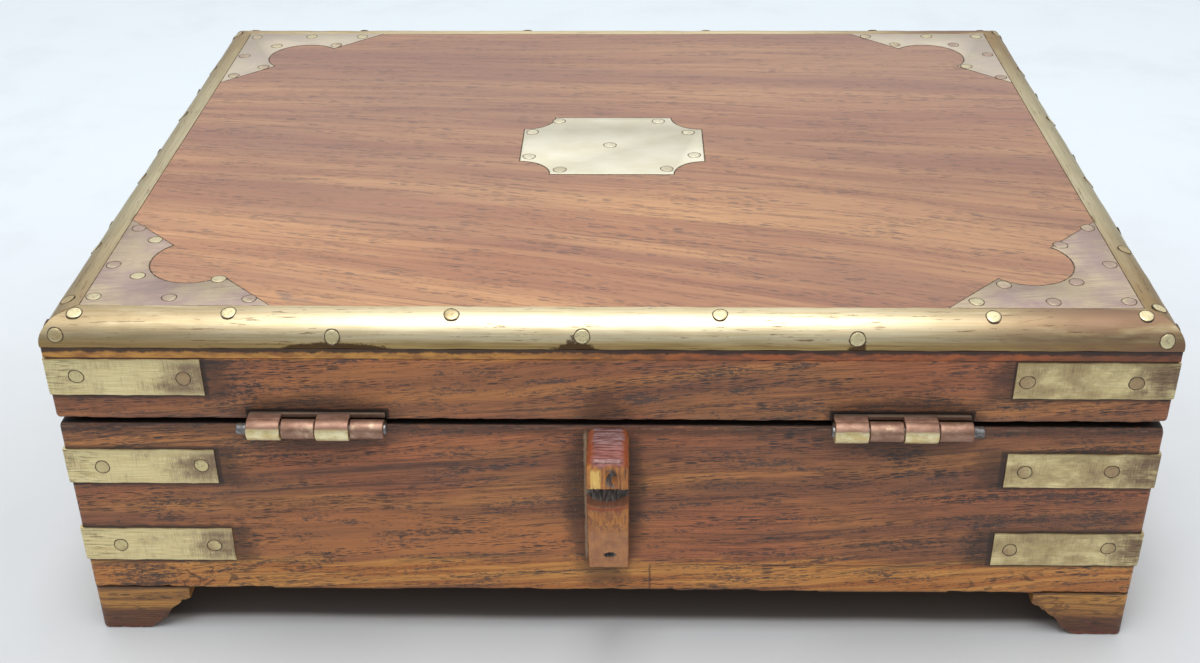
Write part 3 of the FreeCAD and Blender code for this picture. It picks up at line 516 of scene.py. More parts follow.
def paint_back_marks(f, streak, grit):
    """A crack, a split, two knots and charcoal-dark patches on the hinge side."""
    back = f.ramp(f.y, 0, 20)
    crack = f.slab(27.5, 27.9, 0.35, f.z + 1.6 * (f.cloud(8, 0, 0, 3) - 0.5)) * f.slab(-100, -19, 3, f.x)
    split = f.slab(-13.2, -12.7, 0.4, f.x + 1.2 * (f.cloud(0, 0, 4) - 0.5)) * f.ramp(f.z, 28.5, 26.5)
    whorl = f.ramp(f.noise(f.x / 10, 3, f.z / 6, 4, 0.6, 2.5), 0.54, 0.62)
    knots = whorl * f.spot((135, 0, 19), (34, None, 8), 0.5).higher(f.spot((-128, 0, 19), (16, None, 7), 0.5))
    f.paint(crack.higher(split).higher(knots * 0.8) * back * 0.85, (60, 44, 38))
    near = highest(f.spot((x, None, z + 0.035 * (x - f.x)), (1.4 * length, None, 1.8 * height), 0.9)
                   for x, z, length, height in CHARCOAL)
    char = f.ramp(near * 0.46 + 1.2 * (grit - 0.5) + 0.9 * (streak - 0.5), 0.4, 0.54) * back
    f.paint(char * 0.7, (60, 52, 51))


def grime_and_shade_share(f, along, deep, dirt, grit, lengthwise):
    """Where grime and painted shade lie: grime by the straps and behind hinges and block, painted shade under
    the lid's edge and in the seam.
    """
    half, face = (HALF_X, HALF_Y) if lengthwise else (HALF_Y, HALF_X)
    # Painted shade: a band just under the lid's edge, and a dark line in the seam.
    lip = f.ramp(f.z, CASE_TOP - 6, CASE_TOP - 2) * f.ramp(f.z, CASE_TOP + 1, CASE_TOP) * 0.72
    seam = f.slab(CASE_TOP - 0.8, LID_LOW + 0.6, 1.7).higher(lip)
    joint = f.slab(RAIL_TOP - 0.4, RAIL_TOP + 0.5, 0.4) * f.ramp(dirt, 0.4, 0.6) * 0.8
    under = f.ramp(f.z + 1.2 * (dirt - 0.5), 18.4, 17.2)
    rows = highest(f.slab(low - 1.1, low + STRAP_WIDTH + 1.1, 1.3) for low in STRAP_LOWS.values())
    strap_end = half - STRAP_REACH
    beside = f.ramp(abs(along) - (strap_end - 7), -7, 5)
    close = f.ramp(abs(along) - strap_end, -1.6, 0.2)
    grime_and_shade = highest([joint, rows * beside * 0.7, rows * close, under * 0.7])
    if lengthwise:
        hinges = highest(f.spot((middle, HALF_Y, AXIS_Z - 1), (27, 30, 11), 0.75) for middle in HINGE_AT)
        stop = f.spot((1.5, HALF_Y, 55), (12.5, 12, 38), 0.55)
        grime_and_shade = highest([grime_and_shade, hinges * 0.7, stop * 0.75])
    outside = f.ramp(abs(deep), face - 5, face - 3)
    grime_and_shade = (grime_and_shade * outside).higher(seam * 0.9)
    return grime_and_shade * f.ramp(dirt + 0.5 * grime_and_shade + 0.4 * (grit - 0.5), 0.5, 0.76)


def paint_hinge_side(f, dirt):
    """Dust and old glue beside the stop block, painted shadow in the gaps over the hinges, a pale line on the
    seam's worn arrises that is partly painted highlight, and painted shade on the lips of the seam.
    """
    beside = f.slab(31, 77.5, 2) * f.ramp(f.y, HALF_Y - 4, HALF_Y - 2)
    dust = f.cloud(0.7, 0, 0.9, 3, 0.75)
    f.paint(f.slab(8, 11.5, 1.5, f.x) * beside * f.ramp(dust, 0.56, 0.64) * 0.6, (138, 122, 100))
    glue = f.slab(6.4, 7.3, 0.3, f.x + 0.9 * (dirt - 0.5)) * beside
    f.paint(glue * f.ramp(dust, 0.34, 0.44) * 0.9, (178, 154, 124))
    # Painted shadow in the gaps over the hinges.
    half = HINGE_LENGTH / 2
    over = highest(f.ramp(abs(f.x - middle) + 1.5 * (dirt - 0.5), half + 1.4, half + 0.8)
                   for middle in HINGE_AT)
    gap = over * f.slab(AXIS_Z, AXIS_Z + 4.7, 0.3, f.z + 1.6 * (dirt - 0.5)) * f.ramp(f.y, 120, 124)
    f.paint(gap * 0.9, (30, 24, 21))
    # A pale line along the worn arrises on both sides of the seam: partly wear, partly a painted highlight.
    rubbed = f.slab(CASE_TOP - 1.9, CASE_TOP - 1.5, 0.25).higher(f.slab(LID_LOW + 1.5, LID_LOW + 1.9, 0.25))
    f.paint(rubbed * f.ramp(dirt, 0.5, 0.62) * (1 - gap) * 0.4, (170, 136, 112))
    # Painted near-black shade on the lips inside the seam.
    lip = f.slab(CASE_TOP - 1.2, LID_LOW + 1.2, 0.3) * f.slab(HALF_Y - 4, HALF_Y - 0.7, 0.5, abs(f.y))
    f.paint(lip * 0.95, (24, 19, 17))


def case_wood(name, lengthwise):
    """Rosewood of the case and lid sides, with paler sapwood low down, grime by the brass, and painted shade
    in and under the seam and over the hinges.
    """
    f = Finish(name)
    along, deep = (f.x, f.y) if lengthwise else (f.y, f.x)
    band, streak, fibre, thread, pore = grain(f, along, f.z, deep, 0.07, 8.5, 4.2, 0.32)
    blotch = f.noise(along / 34, f.z / 13, deep / 13, 4, 0.65)
    gold = f.ramp(f.noise(along / 90 + 2, f.z / 24, deep / 30, 1), 0.42, 0.6)
    f.colour = f.blend(band, 0.34, 0.66, (156, 99, 68), f.mix(gold, (193, 117, 75), (199, 134, 78)))
    f.stain(streak, 0.44, 0.66, 0.5, (120, 76, 56))
    f.stain(blotch, 0.5, 0.72, 0.45, (120, 84, 64))
    f.stain(fibre, 0.58, 0.32, 0.55, (84, 50, 38))
    glow = f.spot((66, 144, 38), (80, None, 9), 0.7).higher(f.spot((66, 144, 95), (66, None, 8), 0.7) * 0.4)
    f.paint(glow * f.ramp(band, 0.2, 0.5) * 0.6, (210, 136, 76))
    paint_sapwood(f, along, deep, streak, fibre)
    f.paint(thread * 0.6, (80, 56, 48))
    grit = f.noise(along / 1.7, f.z / 0.6, deep / 0.6, 3, 0.75)
    smoke = f.noise(along / 24 + 3, (f.z + 0.07 * along) / 3.4, deep / 4, 5, 0.7)
    f.stain(smoke + 0.8 * (grit - 0.5), 0.57, 0.68, 0.8, (70, 62, 61))
    f.paint(pore * 0.95, (50, 42, 42))
    if lengthwise:
        paint_back_marks(f, streak, grit)
    dirt = f.noise(along / 6, f.z / 3.4, deep / 3.4, 4, 0.7)
    # Grime by the brass and the joints, with painted shade in and under the seam.
    grime_and_shade = grime_and_shade_share(f, along, deep, dirt, grit, lengthwise)
    f.paint(grime_and_shade * 0.9, (56, 48, 45))
    if lengthwise:
        paint_hinge_side(f, dirt)
    rough = 0.46 + 0.16 * (streak - 0.5) + 0.25 * grime_and_shade
    relief = 0.55 * (1 - pore) + 0.2 * fibre + 0.13 * blotch + 0.12 * grit
    return f.done(rough, relief, 0.22, 0.9)


def top_wood(name):
    """Rosewood of the lid's top: lighter and polished, with darker leaning bands and a painted mauve sheen
    towards the far side.
    """
    f = Finish(name)
    fan = f.y + f.x * (0.13 + 0.0012 * f.y)
    band, streak, fibre, thread, pore = grain(f, f.x, fan, f.z, 0, 14, pore_width=0.55)
    wide = f.noise(f.x / 230 + 3, fan / 30, f.z / 40, 2)
    f.colour = f.blend(band, 0.34, 0.66, (168, 118, 90), (210, 160, 114))
    f.stain(wide, 0.5, 0.66, 0.6, (146, 102, 86))
    f.stain(streak, 0.44, 0.7, 0.45, (146, 100, 78))
    f.stain(fibre, 0.62, 0.3, 0.3, (144, 92, 64))
    f.paint(thread * 0.55, (116, 80, 66))
    f.paint(pore * 0.7, (92, 76, 74))
    grey = f.ramp(f.cloud(18, 9, 0, 4, 0.7), 0.52, 0.7)
    stained = f.spot((103, 108, 0), (20, 9, None), 0.8).higher(f.spot((60, 95, 0), (60, 14, None), 0.8) * 0.5)
    f.paint(stained * grey * 0.75, (108, 96, 94))
    # Painted sheen: greyer and more mauve towards the far side, as a grazing reflection would make it.
    far = f.ramp(f.y, 80, -90)
    f.paint(far * (0.5 + 0.1 * f.ramp(f.x, 0, -120)), (140, 112, 105))
    right = f.ramp(f.x, 30, -110) * f.ramp(f.y, -50, 40)
    f.paint(right * 0.34, (122, 92, 80))
    left = f.ramp(f.x, 20, 100) * f.ramp(f.y, 20, 60)
    f.paint(left * 0.1, (232, 186, 140))
    middle = f.spot((62, 0, 0), (85, 62, None), 0.7)
    f.paint(middle * 0.24, (128, 104, 98))
    # the plain edge under the brass
    rim = f.ramp(abs(f.x), HALF_X - 6, HALF_X - 4).higher(f.ramp(abs(f.y), HALF_Y - 6, HALF_Y - 4))
    edge = f.ramp(f.z, LID_TOP - 1.5, LID_TOP - 3) * rim
    sap = f.ramp(f.x, -40, 60)
    side = f.mix(sap, f.blend(streak, 0.35, 0.65, (176, 96, 52), (126, 76, 54)),
                 f.blend(streak, 0.38, 0.68, (208, 150, 74), (164, 108, 58)))
    side = f.mix(f.ramp(f.x, -110, -150) * 0.5, side, (84, 62, 52))
    f.paint(edge, side)
    # A dark line along the foot of the edging, and faint dark smears on the plain edge.
    crust = f.cloud(6, 6, 0, 4, 0.7)
    line = f.ramp(f.z + 2.6 * (crust - 0.5), LID_TOP - EDGING_DROP - 1.7, LID_TOP - EDGING_DROP - 0.8)
    smear = f.ramp(f.cloud(26, 26, 1.8, 4, 0.6), 0.5, 0.62)
    f.paint(edge * line.higher(smear * 0.2) * 0.9, EDGE_DARK)
    rough = 0.36 + 0.2 * (streak - 0.5) + 0.18 * edge + 0.1 * stained
    relief = 0.6 * (1 - pore) + 0.25 * fibre + 0.15 * f.cloud(30, 12, 0)
    return f.done(rough, relief, 0.16, 0.75)


def foot_wood(name):
    """Feet: ochre sapwood above, dark red-brown heartwood at the toe, grain running level."""
    f = Finish(name)
    along = f.x + f.y
    band, streak, fibre, thread, pore = grain(f, along, f.z, 0, 0.03, 5, pore_length=4.2, pore_width=0.34)
    f.colour = f.blend(band, 0.36, 0.64, (178, 124, 66), (216, 158, 78))
    f.stain(streak, 0.42, 0.62, 0.7, (132, 88, 54))
    f.stain(fibre, 0.6, 0.3, 0.45, (112, 70, 44))
    whorl = f.noise(f.x / 17, 4, f.z / 9, 2, 0.5, 2)
    whorl = f.ramp(whorl, 0.46, 0.52) * f.ramp(whorl, 0.6, 0.54) * f.ramp(f.x, 0, -60)
    f.paint(whorl * 0.6, (106, 68, 46))
    toe = f.ramp(f.z + 7 * (streak - 0.5), 9, 6.5)
    f.paint(toe * 0.9, f.blend(fibre, 0.35, 0.6, (70, 46, 40), (112, 66, 48)))
    f.stain(f.z, 2.2, 0.6, 0.6, (142, 76, 50))
    f.paint(pore.higher(thread * 0.7) * 0.8, (66, 50, 44))
    dirt = f.noise(along / 8, f.z / 5, 0, 4, 0.7)
    joint = f.ramp(f.z, 16.2, 16.8)
    f.paint((f.ramp(dirt, 0.62, 0.8) * 0.4).higher(joint * 0.8), (70, 54, 46))
    relief = 0.6 * (1 - pore) + 0.25 * fibre + 0.15 * dirt
    return f.done(0.52 + 0.12 * (streak - 0.5), relief, 0.22, 0.9)


def stop_wood(name):
    """Rough block: polished on its worn top with a painted mauve sheen at the rear, split and yellow below,
    painted black shade in its holes and kerf.
    """
    f = Finish(name)
    fibre = f.cloud(0.7, 2, 9, 3, 0.65)
    patch = f.cloud(3.4, 4, 5.5, 3)
    cross = f.cloud(6, 0.55, 1.5, 3, 0.65)
    f.colour = f.blend(fibre, 0.3, 0.7, (156, 92, 50), (216, 144, 70))
    f.stain(patch, 0.52, 0.7, 0.55, (124, 76, 52))
    chip = f.slab(2.1, 5, 0.3, f.x + 0.8 * (patch - 0.5)) * f.slab(68.8, 75.6, 0.9, f.z + 3 * (fibre - 0.5))
    f.paint(chip * f.ramp(fibre, 0.3, 0.48), (250, 206, 116))
    split = f.ramp(f.cloud(0.5, 0, 11, 2), 0.53, 0.6) * f.ramp(f.x, -1, -2)
    f.paint(split * f.ramp(f.z, 66, 67) * 0.8, (84, 58, 44))
    f.stain(patch, 0.42, 0.3, 0.5, (214, 132, 52))
    lower = f.ramp(f.z, 52, 44)
    f.paint(lower * 0.8, f.blend(patch, 0.3, 0.7, (212, 148, 98), (186, 128, 90)))
    specks = f.ramp(f.cloud(1, 0, 1.5, 2, 0.7), 0.54, 0.62) * f.slab(47.5, 50.5, 1.2)
    f.paint(specks * 0.8, (84, 60, 50))
    curl = f.z - 0.035 * f.x * f.x
    slope = f.slab(59.6, 64.5, 0.5, curl) * f.ramp(f.y, HALF_Y + 8.4, HALF_Y + 9.5)
    f.paint(slope * 0.8, (104, 58, 40))
    f.paint(f.slab(58, 59.4, 0.6, curl + 1.2 * (patch - 0.5)) * 0.8, (160, 66, 28))
    # The worn top: red-brown, with a painted mauve-grey sheen towards the rear.
    top = f.ramp(f.z + 3 * (patch - 0.5) + 0.6 * (cross - 0.5), 76.4, 77.4)
    rear_sheen = f.ramp(f.y, HALF_Y + 12, HALF_Y + 4)
    worn = f.blend(cross, 0.38, 0.6, (112, 66, 60), f.mix(rear_sheen, (168, 112, 104), (164, 136, 136)))
    worn = f.mix(f.ramp(abs(f.x) + 2.4 * (patch - 0.5), 3.6, 5) * 0.85, worn, (156, 82, 44))
    f.paint(top, worn)
    # Painted black shade in the kerf under the head, in the knot hole and in the upper half of the nail hole.
    kerf_shadow = f.slab(61.9, 68.3, 0.3, curl + 1.2 * (fibre - 0.5)) * f.ramp(f.y, HALF_Y + 15.5, HALF_Y + 13.5)
    head_hole_shade = f.spot((-1, 144, 72.6), (1.9, 8, 3.3), 0.6) * f.ramp(f.cloud(1.6, 0, 2.6, 2), 0.4, 0.48)
    head_hole_shade = head_hole_shade * f.ramp(f.y, HALF_Y + 12, HALF_Y + 14)
    nail = f.spot((-0.4, 133, 34.6), (2.1, 9, 1.4), 0.3) * f.ramp(f.z + 0.4 * abs(f.x + 0.4), 33.3, 33.7)
    black = kerf_shadow.higher(head_hole_shade * 0.95).higher(nail)
    f.paint(black, f.blend(fibre, 0.35, 0.7, (54, 51, 50), (130, 124, 120)))
    side = f.ramp(abs(f.x), 5.9, 6.3)
    f.paint(side * 0.55, (112, 62, 38))
    relief = fibre * (1 - top) + top * cross
    rough = 0.5 - 0.24 * top + 0.35 * black
    return f.done(rough, relief, 0.25, 0.7)


def inner_wood(name):
    """Plain planed wood of the inside."""
    f = Finish(name)
    band, streak, fibre, _, pore = grain(f, f.x, f.y + f.z, f.z, 0.03, 11, pores_from=0.5)
    f.colour = f.blend(band, 0.3, 0.7, (150, 100, 66), (188, 134, 86))
    f.paint(pore * 0.55, (96, 68, 52))
    f.stain(streak, 0.5, 0.8, 0.4, (128, 82, 56))
    return f.done(0.6 + 0.1 * (fibre - 0.5), 0.6 * (1 - pore) + 0.4 * fibre, 0.12, 0.6)


# ---------------- brass and iron

def scratches(f, a, b, length=16, width=0.16):
    """Fine scratches along a, 0..1."""
    return f.noise(a / length, b / width, 0, 2, 0.7)


def strap_brass(name):
    """Corner straps: pale olive brass, cross-scratched, browned at one end and rubbed at the edges."""
    f = Finish(name)
    reach = abs(f.x).lower(abs(f.y) + (HALF_X - HALF_Y))
    along = f.x + f.y
    lines = scratches(f, along, f.z, 14, 0.17)
    ticks = scratches(f, f.z, along, 7, 0.22)
    cloud = f.cloud(11, 11, 7, 4, 0.65)
    fine = f.noise(along / 2.2, along / 3, f.z / 0.8, 3, 0.7)
    f.colour = f.blend(lines, 0.35, 0.65, (218, 197, 143), (248, 234, 183))
    right = f.ramp(f.x, 30, -30)
    f.paint(right * f.ramp(cloud, 0.3, 0.6) * 0.6, (164, 140, 100))
    middle = highest(f.ramp(abs(f.z - (low + STRAP_WIDTH / 2)), 6.4, 3.6) for low in STRAP_LOWS.values())
    inner_end = f.ramp(reach, HALF_X - STRAP_REACH + 19, HALF_X - STRAP_REACH + 4)
    outer_end = f.ramp(reach, HALF_X - 17, HALF_X - 7)
    weight = 0.3 * inner_end * (1 - right) + 0.26 * outer_end * right
    uneven = cloud + 0.6 * (ticks - 0.5) + 0.5 * (lines - 0.5) + 0.3 * (fine - 0.5)
    stain = f.ramp(uneven + weight, 0.46, 0.96) * (0.35 + 0.65 * middle)
    f.paint(stain * 0.82, (116, 86, 78))
    scored = f.ramp(f.noise(along / 10, along / 10, f.z / 0.5, 2), 0.54, 0.62) * f.ramp(
        reach, HALF_X - 14, HALF_X - 3)
    f.paint(scored * 0.55, (96, 78, 54))
    f.stain(ticks, 0.56, 0.74, 0.3, (130, 106, 80))
    rough = 0.38 + 0.1 * (lines - 0.5) + 0.12 * stain
    relief = 0.5 * lines + 0.3 * ticks + 0.2 * cloud
    return f.done(rough, relief, 0.03, 0.6, metallic=0.9 - 0.3 * stain)


def edging_brass(name, lengthwise):
    """Edging: rubbed cream-bright above, brown-olive low down as a painted reflection, duller towards the
    ends, dark stains by the lower pins.
    """
    f = Finish(name)
    along, across, half = (f.x, abs(f.y), HALF_X) if lengthwise else (f.y, abs(f.x), HALF_Y)
    lines = f.noise(along / 26, across / 0.6, f.z / 0.6, 2, 0.6)
    cloud = f.noise(along / 30, across / 5, f.z / 5, 4, 0.6)
    streak = f.noise(along / 9, across / 0.7, f.z / 0.7, 4, 0.75)
    pale = ((226, 208, 166), (242, 230, 196)) if lengthwise else ((192, 180, 146), (208, 198, 166))
    f.colour = f.blend(lines, 0.3, 0.7, *pale)
    # Brown-olive low down: a painted reflection of the dim room on the lower part of the curve.
    low = f.ramp(f.z + 2.4 * (cloud - 0.5), LID_TOP - 4.4, LID_TOP - 7.4)
    f.paint(low * 0.85, f.blend(lines, 0.35, 0.65, (140, 112, 60), (178, 150, 88)))
    # Duller towards the ends: tarnish, and a painted falloff of the lamp's highlight.
    end = f.ramp(abs(along), half * 0.3, half * 0.9)
    f.paint(end * (0.6 + 0.25 * f.ramp(f.x, 20, -20)) * f.ramp(cloud, 0.1, 0.5), (162, 134, 92))
    marks = f.ramp(streak, 0.58, 0.65) * f.ramp(cloud + 0.12 * end, 0.44, 0.56)
    f.paint(marks * 0.75, (106, 74, 52))
    if lengthwise:
        stain = highest(f.spot((x, HALF_Y, LID_TOP - 9), (reach, 8, 2.6), 0.9).higher(
            f.spot((x, HALF_Y, LID_TOP - 6.4), (2.9, 8, 2.4), 0.7) * 0.8)
            for x, reach in ((79.6, 17), (9.5, 7), (-71.7, 3)))
        stain = f.ramp(stain + 2 * (f.cloud(4, 0, 2, 4, 0.75) - 0.5), 0.45, 0.75) * f.ramp(f.y, 0, 9)
        f.paint(stain * 0.85, (72, 46, 32))
        f.paint(f.ramp(f.x, -90, -150) * f.ramp(cloud, 0.3, 0.55) * 0.6, (142, 106, 96))
    rough = 0.46 + 0.12 * (lines - 0.5) + 0.1 * low
    relief = 0.6 * lines + 0.4 * cloud - 0.5 * marks
    return f.done(rough, relief, 0.04, 0.5, metallic=0.92 - 0.3 * marks)


def plate_brass(name):
    """Corner plates: tan and mauve, brushed one way, paler towards the far side as a painted reflection."""
    f = Finish(name)
    lines = scratches(f, f.x + 0.15 * f.y, f.y - 0.15 * f.x, 20, 0.3)
    cloud = f.cloud(16, 16, 0, 4, 0.6)
    f.colour = f.blend(cloud, 0.35, 0.65, (190, 168, 160), (210, 194, 164))
    f.stain(lines, 0.42, 0.66, 0.5, (146, 120, 122))
    stain = f.ramp(f.noise(f.x / 8 + 9, f.y / 8, 0, 4, 0.7), 0.52, 0.75)
    f.paint(stain * 0.4, (164, 134, 134))
    # Paler towards the far side: a painted reflection of the pale surroundings.
    f.stain(f.y, 20, -90, 0.5, (228, 222, 204))
    rough = 0.44 + 0.14 * (lines - 0.5)
    relief = 0.6 * lines + 0.4 * cloud
    return f.done(rough, relief, 0.04, 0.7, metallic=0.8)


def cartouche_brass(name):
    """Cartouche: the palest brass, rubbed smooth."""
    f = Finish(name)
    lines = scratches(f, f.x, f.y, 22, 0.35)
    cloud = f.cloud(18, 12, 0, 3)
    f.colour = f.blend(cloud, 0.3, 0.7, (234, 228, 202), (246, 242, 222))
    f.stain(lines, 0.55, 0.8, 0.3, (196, 180, 150))
    return f.done(0.4 + 0.1 * (lines - 0.5), lines, 0.03, 0.6, metallic=0.7)


def pin_brass(name, dull, pale):
    """Hammered pin heads: each between a dull and a pale tone."""
    f = Finish(name)
    each = f.cloud(13, 13, 13, 0)
    fine = f.cloud(0.9, 0.9, 0.9, 3, 0.6)
    f.colour = f.blend(each, 0.38, 0.6, dull, pale)
    f.stain(fine, 0.5, 0.7, 0.45, (138, 108, 84))
    return f.done(0.42 + 0.2 * (fine - 0.5), fine, 0.1, 0.6, metallic=0.72)


def hinge_brass(name, coppery):
    """Hinge knuckles and leaves: worn brass below, brightened as a painted reflection of the floor, copper
    and mauve above; or coppery all over.
    """
    f = Finish(name)
    cloud = f.cloud(4.2, 3, 3, 4, 0.65)
    lines = scratches(f, f.x, f.z + f.y, 9, 0.2)
    bright = f.blend(cloud, 0.35, 0.65, (226, 204, 146), (255, 244, 200))
    copper = f.blend(cloud, 0.3, 0.7, (146, 110, 92), (182, 146, 126))
    if coppery:
        f.colour = f.mix(f.ramp(cloud + 0.25 * (lines - 0.5), 0.56, 0.72) * 0.3, copper, bright)
    else:
        # Bright below the axis: worn brass and a painted reflection of the pale floor.
        f.colour = f.blend(f.z + 1.1 * (cloud - 0.5), AXIS_Z + 1.3, AXIS_Z + 2, bright, copper)
    leaf = f.ramp(f.y, HALF_Y + 1.6, HALF_Y + 0.4)
    f.paint(leaf * 0.85, (112, 98, 86))
    rough = 0.42 + 0.18 * (lines - 0.5) + 0.2 * leaf + 0.08 * f.ramp(f.z, AXIS_Z + 1, AXIS_Z + 2)
    return f.done(rough, 0.6 * lines + 0.4 * cloud, 0.06, 0.7, metallic=0.7)


def knob_brass(name):
    """Turned knob, handled smooth."""
    f = Finish(name)
    cloud = f.cloud(5, 5, 5, 4)
    f.colour = f.blend(cloud, 0.35, 0.68, (206, 182, 122), (232, 214, 158))
    return f.done(0.26 + 0.16 * cloud, cloud, 0.05, 0.5, metallic=0.95)


def iron(name):
    """Grey hinge wire."""
    f = Finish(name)
    cloud = f.cloud(1.4, 1.4, 1.4, 4, 0.7)
    f.colour = f.blend(cloud, 0.4, 0.7, (150, 150, 152), (92, 86, 82))
    return f.done(0.42 + 0.2 * (cloud - 0.5), cloud, 0.08, 0.7, metallic=0.85)


def grime(name):
    """Old polish and dirt that has dried round a pin head."""
    f = Finish(name)
    cloud = f.cloud(1.2, 1.2, 1.2, 3)
    f.colour = f.blend(cloud, 0.35, 0.65, (58, 46, 38), (120, 100, 76))
    return f.done(0.75 + 0.1 * (cloud - 0.5))


# ---------------- boards

def make_boards(long_wood, side_wood):
    """Case boards and lid rails with their worn arrises, chipped most along the foot of the back."""
    hinge_half = HINGE_LENGTH / 2 + 0.15
    # corner order of a section across a long board: y low z low, y high z low, y high z high, y low z high
    worn_board("back_board", "body_back_board", 0, (0.8, 1.1, 0.9, 0.6), 11, long_wood, "case",
               notch=(HINGE_AT, hinge_half, 1, CASE_TOP - 1.25), trim=(0.0, 0.65), ends=1.7, chips=1.3)
    worn_board("lid_back_board", "lid_back_rail", 0, (0.6, 0.6, 0.5, 0.4), 12, long_wood, "lid",
               notch=(HINGE_AT, hinge_half, -1, AXIS_Z + LID_KNUCKLE + 0.12), trim=(0.6, 0.0), ends=1.3,
               chips=1.3)
    worn_board("lid_front_board", "lid_front_rail", 0, (1.1, 0.7, 0.4, 0.5), 13, long_wood, "lid",
               ends=1.3, chips=1.0)
    for side in ("left", "right"):
        outer = (1.1, 0.7) if side == "left" else (0.7, 1.1)
        worn_board(f"case_{side}_board", f"body_{side}_board", 1, (*outer, *outer[::-1]), 20 + len(side),
                   side_wood, "case", ends=0.3, chips=1.0)
        worn_board(f"lid_{side}_board", f"lid_{side}_rail", 1, (*outer, 0.5, 0.5), 30 + len(side),
                   side_wood, "lid", ends=0.3, chips=1.0)


# ---------------- feet

def make_foot(corner, sign_x, sign_y, wood):
    """Bracket foot round one corner.

    It is a band of two boards seen along the path u from one end to the other, u = 0 at the
    corner. Its underside is flat for the toe, then rises with the climb c, 0 to 1, by
    0.45 c + 0.55 smooth(1.05 c) of the rise to the lip, with a small uneven wave. Each column is
    (share of the way up, rise, inset), first over the outside and then down the inside.
    """
    low, high = box_mm(f"foot_{corner}")
    reach = (high - low)[0] - 0.15
    top = high[2]
    thick, toe, round_over, rise_to_lip, steps = 9.0, 15.2, 2.2, 12.6, 46
    seed = 60 + 7 * sign_x + 3 * sign_y
    leg = np.linspace(reach, round_over, steps)
    turn = np.radians(np.linspace(0, 90, 11))[1:-1]
    bent = round_over * np.stack([1 - np.cos(turn), 1 - np.sin(turn)], axis=1)
    path = np.concatenate([np.stack([0 * leg, leg], axis=1), bent, np.stack([leg[::-1], 0 * leg], axis=1)])
    inward = np.concatenate([np.tile([1.0, 0.0], (steps, 1)), np.stack([np.cos(turn), np.sin(turn)], axis=1),
                             np.tile([0.0, 1.0], (steps, 1))])
    u = path[:, 0] - path[:, 1]
    climb = np.clip((np.abs(u) - toe) / (reach - toe), 0, 1)
    curve = 0.45 * climb + 0.55 * smooth(climb * 1.05)
    underside = rise_to_lip * curve + 3.6 * climb * (1 - climb) * ripple(u, 9, seed)
    underside = np.clip(underside, 0, top - 3.4)
    rim = 0.7 + 0.3 * ripple(u, 7, seed + 1)
    columns = []
    outside = ((0, 0, 1), (0, 0.3, 0.3), (0, 1, 0), (0.5, 0, 0), (1, -0.25, 0), (1, -0.02, 0.3))
    for share, rise, inset in outside:
        height = underside * (1 - share) + top * share + rise * (rim if share == 0 else 1)
        columns.append(np.column_stack([path + inset * rim[:, None] * inward, height]))
    inner = np.maximum(path, thick)
    for share, rise in ((1, -0.02), (0.5, 0), (0, 0.2), (0, 0)):
        columns.append(np.column_stack([inner, underside * (1 - share) + top * share + rise]))
    points = np.stack(columns, axis=1)
    points[..., 0] = sign_x * (HALF_X - points[..., 0])
    points[..., 1] = sign_y * (HALF_Y - points[..., 1])
    shell = Shell()
    shell.tube(points)
    shell.build(f"bracket_foot_{corner}", [wood], "case", f"foot_{corner}")


# ---------------- edging

EDGING_PINS = {   # (place along the side, degrees up the curve)
    "back": ((155.3, 74), (110.2, 76), (45.3, 73), (-32.4, 75), (-110.9, 72), (-154.7, 76),
             (160.1, 22), (79.6, 20), (7.4, 23), (-71.7, 19), (-160.0, 17)),
    "front": ((154.5, 50), (108.0, 47), (38.0, 52), (-38.5, 48), (-109.5, 51), (-155.0, 47),
              (159.8, 21), (76.0, 18), (1.5, 23), (-77.5, 20), (-159.5, 22)),
    "right": ((113.6, 72), (77.0, 46), (24.0, 43), (-31.0, 47), (-80.0, 44), (-118.5, 60),
              (121.8, 22), (57.0, 19), (-1.0, 23), (-60.0, 20), (-121.5, 18)),
    "left": ((116.6, 72), (79.7, 71), (26.0, 44), (-27.0, 47), (-79.0, 43), (-119.5, 60),
             (121.5, 19), (60.5, 23), (2.0, 20), (-56.5, 18), (-122.0, 22)),
}


def edging_profile():
    """Section of the edging as (inward from the wood's face, up from the lid's top), outer side first.

    Two quarter circles about one centre, a sheet's thickness apart, with a rounded foot and lip.
    """
    outer, inner = EDGING_RADIUS, EDGING_RADIUS - EDGING_SHEET
    centre = EDGING_RADIUS - PROUD
    angle = np.radians(np.linspace(0, 90, 19))
    arc = [(centre - outer * math.cos(a), outer * math.sin(a) - centre) for a in angle]
    back = [(centre - inner * math.cos(a), inner * math.sin(a) - centre) for a in angle[::-2]]
    foot = [(0.5, -EDGING_DROP), (-PROUD + 0.28, -EDGING_DROP), (-PROUD + 0.06, -EDGING_DROP + 0.12),
            (-PROUD, -EDGING_DROP + 0.4)]
    lip = [(EDGING_WIDTH - 0.5, PROUD), (EDGING_WIDTH - 0.12, PROUD - 0.06), (EDGING_WIDTH, PROUD - 0.3),
           (EDGING_WIDTH, PROUD - EDGING_SHEET)]
    return np.array(foot + arc + lip + back)


def on_side(side, along, inward, z):
    """Points from places along one side of the lid, distances in from its wood and levels."""
    along, inward, z = np.broadcast_arrays(along, inward, z)
    flat = {"front": (along, inward - HALF_Y), "back": (along, HALF_Y - inward),
            "left": (inward - HALF_X, along), "right": (HALF_X - inward, along)}[side]
    return np.stack([*flat, z], axis=-1)


